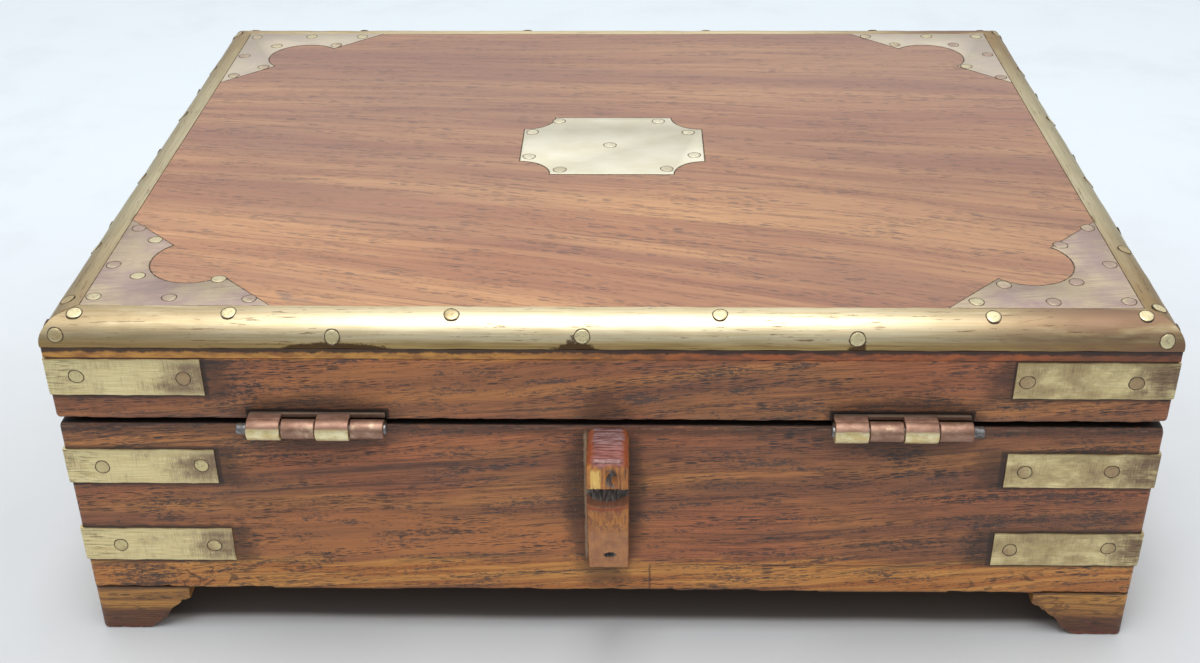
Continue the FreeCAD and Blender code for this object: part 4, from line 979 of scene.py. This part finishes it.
def make_edging(side, brass):
    """Edging strip: its section carried along one side and mitred, with slow dents and a wavy foot."""
    profile = edging_profile()
    half = HALF_X if side in ("front", "back") else HALF_Y
    share = np.linspace(-1, 1, int(half * 2 / 2.2))
    inward, up = profile[:, 0], profile[:, 1]
    along = share[:, None] * (half - inward)[None]
    points = on_side(side, along, inward[None], LID_TOP + up[None])
    seed = 70 + len(side)
    dent = 0.07 * lumps(points, 17, seed) + 0.035 * lumps(points, 6, seed + 1) - 0.06
    centre = EDGING_RADIUS - PROUD
    outward = np.stack([inward - centre, up + centre], axis=1)
    outward /= np.maximum(np.linalg.norm(outward, axis=1, keepdims=True), 1e-6)
    moved = inward[None] + dent * outward[None, :, 0]
    raised = up[None] + dent * outward[None, :, 1]
    foot = smooth((-EDGING_DROP + 1.6 - up) / 1.6)
    raised = raised + foot[None] * (0.12 + 0.1 * ripple(along, 31, seed + 2))
    points = on_side(side, along, moved, LID_TOP + raised)
    shell = Shell()
    shell.tube(points)
    shell.build(f"edging_{side}", [brass], "lid", f"lid_edging_{side}")


# ---------------- flat plates

def inlaid(name, outline, finishes, node):
    """Flat plate let into the lid: its outline raised to the plate's top, with the rim rounded over.

    A thin line of dirt lies on the wood round it.
    """
    before, after = np.roll(outline, 1, axis=0), np.roll(outline, -1, axis=0)
    area = 0.5 * np.sum(outline[:, 0] * after[:, 1] - after[:, 0] * outline[:, 1])
    turn = 1 if area > 0 else -1

    def normals(a, b):
        """Outward normals of the outline's edges from a to b."""
        d = b - a
        d /= np.linalg.norm(d, axis=1, keepdims=True)
        return turn * np.stack([d[:, 1], -d[:, 0]], axis=1)

    arriving, leaving = normals(before, outline), normals(outline, after)
    inward = -(arriving + leaving) / np.maximum(1 + np.sum(arriving * leaving, axis=1, keepdims=True), 0.5)

    def rings(steps):
        """The outline drawn in and set at a level, once for each (inset, level)."""
        return np.stack([np.column_stack([outline + inset * inward, np.full(len(outline), z)])
                         for inset, z in steps])

    shell = Shell()
    shell.tube(rings(((0, PLATE_TOP - SHEET), (0, PLATE_TOP - PLATE_RIM),
                      (0.3 * PLATE_RIM, PLATE_TOP - 0.3 * PLATE_RIM), (PLATE_RIM, PLATE_TOP))))
    shell.grid(rings(((-0.42, LID_TOP - 0.05), (-0.4, LID_TOP + 0.03), (0.02, LID_TOP + 0.06))),
               wrap=True, finish=1)
    shell.build(name, finishes, "lid", node)


def corner_outline(sign_x, sign_y):
    """Right triangle with a semicircle bitten out of the middle of its long side."""
    middle = PLATE_REACH / 2
    angle = np.radians(np.linspace(-45, -225, 25))
    bite = np.stack([middle + PLATE_BITE * np.cos(angle), middle + PLATE_BITE * np.sin(angle)], axis=1)
    local = np.concatenate([[(0, 0)], [(PLATE_REACH, 0)], bite, [(0, PLATE_REACH)]])
    return np.stack([sign_x * (FIELD_X - local[:, 0]), sign_y * (FIELD_Y - local[:, 1])], axis=1)


def cartouche_outline():
    """Rectangle with a quarter circle bitten out of each corner."""
    low, high = box_mm("cartouche_plate")
    half = (high - low)[:2] / 2
    bite = 11.0
    points = []
    for sign, start in (((1, -1), 180), ((1, 1), 270), ((-1, 1), 0), ((-1, -1), 90)):
        angle = np.radians(np.linspace(start, start - 90, 11))
        points.append(half * sign + bite * np.stack([np.cos(angle), np.sin(angle)], axis=1))
    return np.concatenate(points)


# ---------------- pins

# (share of the radius, share of the height) from the middle of a pin head to under its rim
HEAD_SECTION = ((0.02, 0.9), (0.3, 0.95), (0.55, 1), (0.75, 0.85), (0.88, 0.6), (0.96, 0.35), (1, 0.1),
                (1, -0.6))
# (share of the radius, height in millimetres) of the ring of dirt
DIRT_SECTION = ((0.98, 0.03), (1, 0.04), (1.13, 0.03), (1.17, -0.3))


def add_head(shell, at, normal, seed, height):
    """Hammered head: its section spun into a disc of uneven radius, tilted a little, and dirt round it.

    The radius varies by two and three waves round the head, each turned at random.
    """
    rng = np.random.default_rng(seed)
    normal = np.asarray(normal, float) / np.linalg.norm(normal)
    side = np.cross(normal, [0, 0, 1] if abs(normal[2]) < 0.8 else [0, 1, 0])
    side /= np.linalg.norm(side)
    other = np.cross(normal, side)
    angle = np.linspace(0, TURN, 22, endpoint=False)
    outline = HEAD_RADIUS * (1 + 0.035 * np.sin(2 * angle + rng.uniform(0, TURN))
                             + 0.02 * np.sin(3 * angle + rng.uniform(0, TURN)))
    share, rise = np.array(HEAD_SECTION).T[..., None]
    dirt_share, dirt_rise = np.array(DIRT_SECTION).T[..., None]
    tilt = 0.04 * np.sin(angle + rng.uniform(0, TURN))

    def place(reach, level):
        """Points at a radius and a height over the seat."""
        out = np.cos(angle)[:, None] * side + np.sin(angle)[:, None] * other
        level = np.broadcast_to(level, reach.shape)
        return np.asarray(at, float) + reach[..., None] * out + level[..., None] * normal

    index = shell.grid(place(share * outline, height * rise + tilt * share * height), wrap=True)
    shell.cap(index[0, :-1][::-1])
    uneven = outline * (1 + 0.02 * np.sin(5 * angle))
    shell.grid(place(dirt_share * uneven, dirt_rise), wrap=True, finish=1)


def make_pins(name, seats, node, body, finishes):
    """One group of pin heads; each seat is a point and the outward normal. Side pins lie flatter."""
    shell = Shell()
    for i, (at, normal) in enumerate(seats):
        height = SIDE_HEAD_HEIGHT if abs(normal[0]) > 0.1 else HEAD_HEIGHT
        add_head(shell, at, normal, 1000 + 17 * i + len(name), height)
    shell.build(name, finishes, body, node, sharp=60)


def edging_seats():
    """Two uneven rows of pins on each strip of edging."""
    seats = []
    centre = EDGING_RADIUS - PROUD
    for side, pins in EDGING_PINS.items():
        for along, degrees in pins:
            c, s = math.cos(math.radians(degrees)), math.sin(math.radians(degrees))
            foot, tip = (on_side(side, along, centre - out * c, LID_TOP - centre + out * s)
                         for out in (EDGING_RADIUS - 0.02, EDGING_RADIUS + 1))
            seats.append((foot, tip - foot))
    return seats


PLATE_PINS = {   # (along x, along y) from the plate's right angle
    (1, 1): ((11.2, 41.8), (2.8, 25.0), (12.3, 17.9), (2.8, 4.9), (25.4, 4.4), (37.4, 16.0), (49.3, 3.9),
             (3.6, 50.0)),
    (-1, 1): ((3.0, 51.7), (14.5, 39.8), (2.7, 26.8), (15.6, 15.6), (37.5, 13.9), (47.6, 3.4), (25.2, 3.5),
              (3.2, 3.9)),
    (1, -1): ((3.4, 4.2), (3.0, 27.0), (26.5, 3.6), (3.5, 49.0), (48.0, 3.6), (13.5, 39.5), (38.8, 14.0),
              (14.0, 15.0)),
    (-1, -1): ((3.8, 3.6), (3.2, 25.0), (24.5, 3.2), (3.0, 50.5), (50.0, 3.4), (14.4, 38.6), (39.2, 13.2),
               (15.0, 13.6)),
}
CARTOUCHE_PINS = ((-20, 21.8), (16.7, 21.6), (-29.3, 11.4), (27.4, 11.2), (-29.3, -10.4), (28.9, -9.0),
                  (-18, -21.5), (19, -20.6), (-0.9, -0.3))
STRAP_BACK_REACH = {("lid", 1): 45.9, ("upper", 1): 45.8, ("lower", 1): 47.4,
                    ("lid", -1): 46.6, ("upper", -1): 45.4, ("lower", -1): 45.6}
STRAP_PINS = {   # (x, z) on the back; the other sides take the same distances from the corners, unevenly
    ("lid", 1): ((156.2, 97.1), (124.6, 96.5)),
    ("upper", 1): ((154.0, 64.6), (123.6, 65.3)),
    ("lower", 1): ((153.3, 34.6), (123.8, 34.6)),
    ("lid", -1): ((-121.9, 96.4), (-153.4, 96.2)),
    ("upper", -1): ((-125.4, 64.4), (-151.4, 64.8)),
    ("lower", -1): ((-124.7, 34.7), (-155.0, 35.6)),
}


def plate_seats():
    """Eight pins on each corner plate."""
    return [((sign_x * (FIELD_X - u), sign_y * (FIELD_Y - v), PLATE_TOP), (0, 0, 1))
            for (sign_x, sign_y), spots in PLATE_PINS.items() for u, v in spots]


def cartouche_seats():
    """Nine pins on the cartouche."""
    return [((-x, -y, PLATE_TOP), (0, 0, 1)) for x, y in CARTOUCHE_PINS]


def strap_seats(levels):
    """Pins of the straps: at their own places on the back, and unevenly elsewhere."""
    seats = []
    face_x, face_y = HALF_X + STRAP_PROUD, HALF_Y + STRAP_PROUD
    for level in levels:
        for sign_x in (-1, 1):
            spots = STRAP_PINS[(level, sign_x)]
            seats += [((x, face_y, z), (0, 1, 0)) for x, z in spots]
            for i, (x, z) in enumerate(spots):
                inset = HALF_X - abs(x)
                drift = 0.9 * math.sin(5 * i + 3 * sign_x + z)
                seats.append(((sign_x * (HALF_X - inset - drift), -face_y, z - drift / 2), (0, -1, 0)))
                for sign_y in (-1, 1):
                    y = sign_y * (HALF_Y - inset + drift * sign_y)
                    seats.append(((sign_x * face_x, y, z + drift / 3), (sign_x, 0, 0)))
    return seats


# ---------------- straps

def make_strap(level, corner, sign_x, sign_y, brass):
    """Strap of sheet brass: a section with rubbed edges, carried along a leg, a bend and the other leg."""
    low = STRAP_LOWS[level]
    high = low + STRAP_WIDTH
    seed = 200 + sum(map(ord, level + corner))
    other = np.linspace(STRAP_REACH, STRAP_BEND, 24)
    reach = STRAP_BACK_REACH[(level, sign_x)] if sign_y > 0 else STRAP_REACH
    leg = np.linspace(reach, STRAP_BEND, 24)
    angle = np.radians(np.linspace(270, 180, 9))[1:-1]
    centre = STRAP_BEND - STRAP_PROUD
    path = np.concatenate([
        np.stack([leg, np.full_like(leg, -STRAP_PROUD)], axis=1),
        np.stack([centre + STRAP_BEND * np.cos(angle), centre + STRAP_BEND * np.sin(angle)], axis=1),
        np.stack([np.full_like(other, -STRAP_PROUD), other[::-1]], axis=1)])
    tangent = np.gradient(path, axis=0)
    tangent /= np.linalg.norm(tangent, axis=1, keepdims=True)
    normal = np.stack([-tangent[:, 1], tangent[:, 0]], axis=1)
    if normal[0, 1] > 0:
        normal = -normal
    distance = np.concatenate([[0], np.cumsum(np.linalg.norm(np.diff(path, axis=0), axis=1))])
    half = STRAP_WIDTH / 2
    under = [(0, STRAP_SHEET), (0, STRAP_RIM), (0.3 * STRAP_RIM, 0.3 * STRAP_RIM), (STRAP_RIM, 0)]
    over = [(STRAP_WIDTH - up, inset) for up, inset in under[::-1]]
    section = under + [(3.5, 0), (half, 0), (9.0, 0)] + over
    columns = []
    for up, inset in section:
        edge = 1 if up < half else -1
        waver = 0.12 * ripple(distance, 23, seed + (up < half)) * (abs(up - half) > 5)
        p = path - normal * inset
        z = low + up + edge * 0.12 + waver
        columns.append(np.column_stack([sign_x * (HALF_X - p[:, 0]), sign_y * (HALF_Y - p[:, 1]),
                                        np.clip(z, low, high)]))
    points = np.stack(columns, axis=1)
    shell = Shell()
    shell.tube(points)
    owner = "lid_strap" if level == "lid" else f"body_{level}_strap"
    body = "lid" if level == "lid" else "case"
    shell.build(f"strap_{level}_{corner}", [brass], body, f"{owner}_{corner}")


# ---------------- hinges

def add_plate(shell, low, high, rim=0.25):
    """Rounded-over block between two corners."""
    low, high = np.asarray(low, float), np.asarray(high, float)
    s = stations(low[0], high[0], 4)
    inset = end_inset(np.minimum(s - low[0], high[0] - s), rim)[:, None]
    section = rounded_section(low[1:] + inset, high[1:] - inset, np.full((len(s), 4), rim), arc=4, side=1)
    shell.tube(np.concatenate([np.broadcast_to(s[:, None, None], section.shape[:2] + (1,)), section], axis=2))


def make_hinges(brass, copper, wire):
    """Rolled hinges: four knuckles on a loose wire, two to each leaf, with a sheet running in.

    Each leaf says its body, knuckle radius, first knuckle, finish, top and sheet thickness, where its
    strips to the knuckles start and end, and how far its sheet stands out, sits down and is rounded.
    """
    axis = (0, AXIS_Y, AXIS_Z)
    pitch = (HINGE_LENGTH + KNUCKLE_GAP) / 4
    slack = 0.02                  # keeps neighbouring surfaces apart
    leaves = (("lid", "lid", LID_KNUCKLE, 1, brass, AXIS_Z + LID_KNUCKLE, 1.6, HALF_Y - 3, AXIS_Y,
               0.75, 2 * slack, 0.3),
              ("body", "case", CASE_KNUCKLE, 0, copper, CASE_TOP, 1.2, HALF_Y - 1, AXIS_Y - 2.2,
               0.2, slack, 0.25))
    rods = Shell()
    for side, middle in (("right", HINGE_AT[0]), ("left", HINGE_AT[1])):
        start = middle - HINGE_LENGTH / 2
        end = start + HINGE_LENGTH
        for leaf, body, radius, first, finish, top, thick, root, tip, proud, sunk, rim in leaves:
            shell = Shell()
            for i in (first, first + 2):
                low = start + i * pitch + slack
                high = start + i * pitch + pitch - KNUCKLE_GAP - slack
                size = radius - 0.05 * ((i * 7 + len(side)) % 3)
                profile = round_rod(low, high, size, 0.3, PIN_RADIUS + 0.05)
                shell.tube(lathe(profile, axis, 0, dent=0.012, seed=300 + i + int(middle)))
                add_plate(shell, (low, root, top - thick), (high, tip, top - slack))
            add_plate(shell, (start, HALF_Y - 9, top - thick), (end, HALF_Y + proud, top - sunk), rim)
            shell.build(f"hinge_{leaf}_{side}", [finish], body, f"hinge_{leaf}_leaf_{side}")
        left_tail, right_tail = (3.3, 0.8) if middle < 0 else (0.8, 3.3)
        profile = round_rod(start - left_tail, end + right_tail, PIN_RADIUS, 0.45, 0.02)
        rods.tube(lathe(profile, axis, 0, 24, dent=0.01, seed=330))
    rods.build("hinge_wires", [wire], "case", "hinge_pins")


# ---------------- stop block

STOP_VIEW = (   # side view from the foot up, as (depth out from the board, level)
    (0.4, 27.4), (2.0, 27.5), (13.6, 60.0), (13.9, 60.8), (13.6, 61.5), (9.2, 65.9), (9.0, 66.2),
    (9.0, 68.4), (9.2, 68.6), (16.4, 68.6), (16.9, 69.1), (17.0, 73.0), (16.9, 77.0), (16.2, 78.1),
    (15.0, 78.55), (8.0, 78.9), (0.4, 79.0))


def make_stop(wood):
    """Worn stop block.

    Each row is a U round the block at one place on its side view: out along one flank, across
    the front with rounded arrises, and back. Holes are dished in where a nail and a knot have
    gone; the top's two ends are worn round.
    """
    low, high = box_mm("lid_stop_block")
    half = (high - low)[0] / 2 - 0.05
    worn_round, worn_from = 2.8, 72.5
    view = np.array(STOP_VIEW)
    view[0, 1], view[1, 1], view[-1, 1] = low[2], low[2] + 0.1, high[2]
    places = [np.linspace(start, end, max(2, int(math.dist(start, end) / 0.3)), endpoint=False)
              for start, end in zip(view, view[1:])]
    depth, z = np.concatenate(places + [view[-1:]]).T[..., None]
    arris = np.minimum(1.0, depth * 0.45)
    # each column: shares of the half width and of the arris across, shares of depth and arris outwards
    flank = [(-1, 0, share, -share) for share in np.linspace(0, 1, 14)]
    flank += [(-1, 1 + math.cos(a), 1, math.sin(a) - 1) for a in np.radians(np.linspace(180, 90, 7))[1:]]
    front = [(share, -share, 1, 0) for share in np.linspace(-1, 1, 47)[1:-1]]
    other = [(-across, -turn, out, back) for across, turn, out, back in flank[::-1]]
    across, turn, out, back = np.array(flank + front + other).T
    x = half * across + arris * turn
    y = depth * out + arris * back
    over = np.clip(np.abs(x) - (half - worn_round), 0, worn_round)
    drop = worn_round - np.sqrt(worn_round ** 2 - over ** 2)
    level = z - drop * smooth((z - worn_from) / 6)
    points = np.stack([x, HALF_Y - 0.3 + y, level], axis=-1)
    rough = 0.16 * lumps(points * (1, 1, 0.35), 3.2, 401) + 0.1 * lumps(points * (1, 1, 0.4), 1.3, 402)
    rough *= smooth((y - 1) / 2) * np.where(level > 77.5, 0.35, 1)
    knot_hole = 2.2 * np.exp(-((x + 1.1) / 1.3) ** 2 - ((level - 72.6) / 2.2) ** 2) * (y > 13)
    nail_hole = 1.7 * np.exp(-(((x + 0.4) / 1.5) ** 2 + ((level - 34.6) / 1.0) ** 2) ** 2)
    fray = 0.8 * np.clip(ripple(x, 4, 405), 0, 1) * np.exp(-((level - 66.0) / 1.2) ** 2)
    points[..., 1] += rough - 0.2 - knot_hole - nail_hole - fray
    shell = Shell()
    shell.tube(points)
    shell.build("stop_block", [wood], "case", "lid_stop_block", sharp=50)


# ---------------- knob and drawer face

# (out from the drawer's face, radius) of the knob from its shank over the base to the neck
KNOB_TURNING = ((-0.1, 1.9), (-0.1, 5.3), (0.8, 5.6), (1.3, 5.3), (1.9, 4), (3, 3.1), (4.6, 2.7))
KNOB_BALL = 5.8


def make_knob(brass):
    """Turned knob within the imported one's reach: shank, base and neck from a table, then a ball."""
    low, high = box_mm("drawer_knob")
    centre = (low + high) / 2
    face = -HALF_Y
    reach = face - low[1]
    inside = face + WALL - 0.5
    base = [(inside, 0.02), (inside, KNOB_TURNING[0][1])]
    base += [(face - out, radius) for out, radius in KNOB_TURNING]
    head = [(face - (reach - KNOB_BALL) - KNOB_BALL * math.sin(a), max(KNOB_BALL * math.cos(a), 0.02))
            for a in np.radians(np.linspace(-62, 90, 16))]
    shell = Shell()
    shell.tube(lathe(base + head, (centre[0], 0, centre[2]), 1, 44))
    shell.build("knob", [brass], "drawer", "drawer_knob", sharp=50)


# ---------------- studio

CAMERA_AT = Vector((-0.0061, 0.5025, 0.3341))
CAMERA_PITCH, CAMERA_YAW, CAMERA_ROLL = -0.5324, -0.0221, -0.0076
FOCAL_PIXELS, PICTURE_WIDTH, SENSOR = 1520.5, 1200, 36.0
FLOOR_HALF = 3000.0


def make_camera():
    """Camera above and behind the box, looking down on its hinge side."""
    cos_p, sin_p = math.cos(CAMERA_PITCH), math.sin(CAMERA_PITCH)
    forward = Vector((-math.sin(CAMERA_YAW) * cos_p, -math.cos(CAMERA_YAW) * cos_p, sin_p))
    right = Vector((-math.cos(CAMERA_YAW), math.sin(CAMERA_YAW), 0))
    up = right.cross(forward)
    c, s = math.cos(CAMERA_ROLL), math.sin(CAMERA_ROLL)
    right, up = c * right + s * up, c * up - s * right
    data = bpy.data.cameras.new("camera")
    data.sensor_width = SENSOR
    data.lens = FOCAL_PIXELS / PICTURE_WIDTH * SENSOR
    data.clip_start, data.clip_end = 0.01, 20
    camera = bpy.data.objects.new("camera", data)
    axes = Matrix((right, up, -forward)).transposed().to_4x4()
    camera.matrix_world = Matrix.Translation(CAMERA_AT) @ axes
    bpy.context.scene.collection.objects.link(camera)
    bpy.context.scene.camera = camera


LAMP_AT, LAMP_TARGET = Vector((0.05, 0.3, 1.3)), Vector((0.0, 0.1, 0.1))
LAMP_SIZE, LAMP_POWER = (0.36, 1.0), 9.4


def make_lamp():
    """Soft lamp above the box."""
    data = bpy.data.lights.new("overhead", "AREA")
    data.shape = "RECTANGLE"
    data.size, data.size_y = LAMP_SIZE
    data.energy = LAMP_POWER
    lamp = bpy.data.objects.new("overhead", data)
    turned = (LAMP_TARGET - LAMP_AT).to_track_quat("-Z", "Y")
    lamp.matrix_world = Matrix.Translation(LAMP_AT) @ turned.to_matrix().to_4x4()
    bpy.context.scene.collection.objects.link(lamp)


def make_floor():
    """Pale floor, faintly mottled, with painted shade: a little greyer on the hinge side and beside the box,
    and a painted shadow, darkest, under the box.
    """
    f = Finish("pale_floor")
    cloud = f.cloud(60, 60, 0, 5, 0.6)
    close = f.spot((0, 0, 0), (900, 900, None), 0.7)
    # Painted shade: greyer towards the hinge side, paler and bluer far off.
    near = f.ramp(f.y, -300, 260) * close
    f.colour = f.mix(near, (232, 242, 250), (212, 215, 217))
    f.paint(f.ramp(cloud, 0.45, 0.75) * close * 0.16, (196, 200, 203))
    # Painted shade beside the ends of the box.
    side = f.ramp(abs(f.x), 150, 320) * f.ramp(f.y, -60, 160) * close
    f.paint(side * 0.55, (180, 190, 196))
    # Painted shadow under the box, its edge sharp on the hinge side.
    waver = 3 * (f.cloud(70, 0, 0, 1) - 0.5)
    box_shadow = f.slab(-HALF_X + 6, HALF_X - 6, 10, f.x) * f.ramp(f.y, -HALF_Y, 24 - HALF_Y) * f.ramp(
        f.y + waver, HALF_Y - 4.5, HALF_Y - 8.5)
    f.paint(box_shadow * 0.9, (100, 97, 95))
    material = f.done(0.6)
    shell = Shell()
    edge = np.array([-FLOOR_HALF, FLOOR_HALF])
    x, y = np.meshgrid(edge, edge, indexing="ij")
    shell.grid(np.stack([x, y, np.zeros_like(x)], axis=-1))
    shell.place("floor", [material])


def make_world():
    """Pale surroundings: bright above and on the drawer's side of the box, dimmer on the hinge side."""
    world = bpy.data.worlds.new("studio")
    bpy.context.scene.world = world
    world.use_nodes = True
    sky = Nodes(world.node_tree)
    background = sky.tree.nodes["Background"]
    seen = sky.add("ShaderNodeLightPath", output="Is Camera Ray")
    place = sky.add("ShaderNodeTexCoord", output="Generated")
    split = sky.add("ShaderNodeSeparateXYZ", sockets={0: place}, output=None)
    levels = [sky.add("ShaderNodeMapRange", {"interpolation_type": "SMOOTHSTEP"},
                      {"Value": Wire(sky, split.outputs[axis]), "From Min": start, "From Max": end,
                       "To Min": low, "To Max": high})
              for axis, start, end, low, high in (("Z", 0.16, 0.56, 0.05, 0.74), ("Y", -0.1, -0.7, 0, 0.3))]
    lit = levels[0] + levels[1]
    sky.put(background.inputs["Color"], sky.mix(seen, lit, (232, 241, 248)))
    background.inputs["Strength"].default_value = 1.0


# ---------------- put it together

def dress(nodes, finish):
    """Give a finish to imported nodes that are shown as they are."""
    for name in nodes:
        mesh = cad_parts[name].data
        mesh.materials.clear()
        mesh.materials.append(finish)


long_wood = case_wood("rosewood_lengthwise", True)
side_wood = case_wood("rosewood_sides", False)
foot_finish = foot_wood("foot_sapwood")
strap_finish = strap_brass("strap_brass")
edging_along = edging_brass("edging_brass_along", True)
edging_across = edging_brass("edging_brass_across", False)
plate_finish = plate_brass("corner_plate_brass")
edge_pins = pin_brass("edging_pin_brass", (204, 184, 138), (240, 228, 182))
plate_pins = pin_brass("plate_pin_brass", (184, 162, 148), (216, 206, 170))
cartouche_pins = pin_brass("cartouche_pin_brass", (214, 206, 178), (238, 232, 206))
strap_pins = pin_brass("strap_pin_brass", (178, 152, 116), (220, 204, 154))
dirt_finish = grime("pin_dirt")

make_boards(long_wood, side_wood)
for corner, (sign_x, sign_y) in CORNERS.items():
    make_foot(corner, sign_x, sign_y, foot_finish)
    inlaid(f"plate_{corner}", corner_outline(sign_x, sign_y), [plate_finish, dirt_finish],
           f"corner_plate_{corner}")
    for level in STRAP_LOWS:
        make_strap(level, corner, sign_x, sign_y, strap_finish)
for side in EDGING_PINS:
    make_edging(side, edging_along if side in ("front", "back") else edging_across)
inlaid("cartouche", cartouche_outline(), [cartouche_brass("cartouche_brass"), dirt_finish], "cartouche_plate")
make_hinges(hinge_brass("lid_hinge_brass", False), hinge_brass("case_hinge_brass", True), iron("hinge_iron"))
make_stop(stop_wood("stop_block_wood"))
make_knob(knob_brass("knob_brass"))

for name, seats, node, body, finish in (
        ("edging_pin_heads", edging_seats(), "lid_edging_pins", "lid", edge_pins),
        ("plate_pin_heads", plate_seats(), "corner_plate_pins", "lid", plate_pins),
        ("cartouche_pin_heads", cartouche_seats(), "cartouche_pins", "lid", cartouche_pins),
        ("lid_strap_pin_heads", strap_seats(("lid",)), "lid_strap_pins", "lid", strap_pins),
        ("case_strap_pin_heads", strap_seats(("upper", "lower")), "body_strap_pins", "case", strap_pins)):
    make_pins(name, seats, node, body, [finish, dirt_finish])

dress(["lid_top_board"], top_wood("rosewood_top"))
dress(["body_front_board", "drawer_front"], long_wood)
dress(["body_bottom_board", "compartment_floor", "drawer_back", "drawer_bottom", "drawer_guide_left",
       "drawer_guide_right", "drawer_side_left", "drawer_side_right", "ink_well_divider_left",
       "ink_well_divider_right", "pen_tray_divider"], inner_wood("inner_wood"))
dress(["hinge_body_screws", "hinge_lid_screws"], strap_pins)

make_floor()
make_world()
make_lamp()
make_camera()
bpy.context.scene.view_settings.view_transform = "Standard"
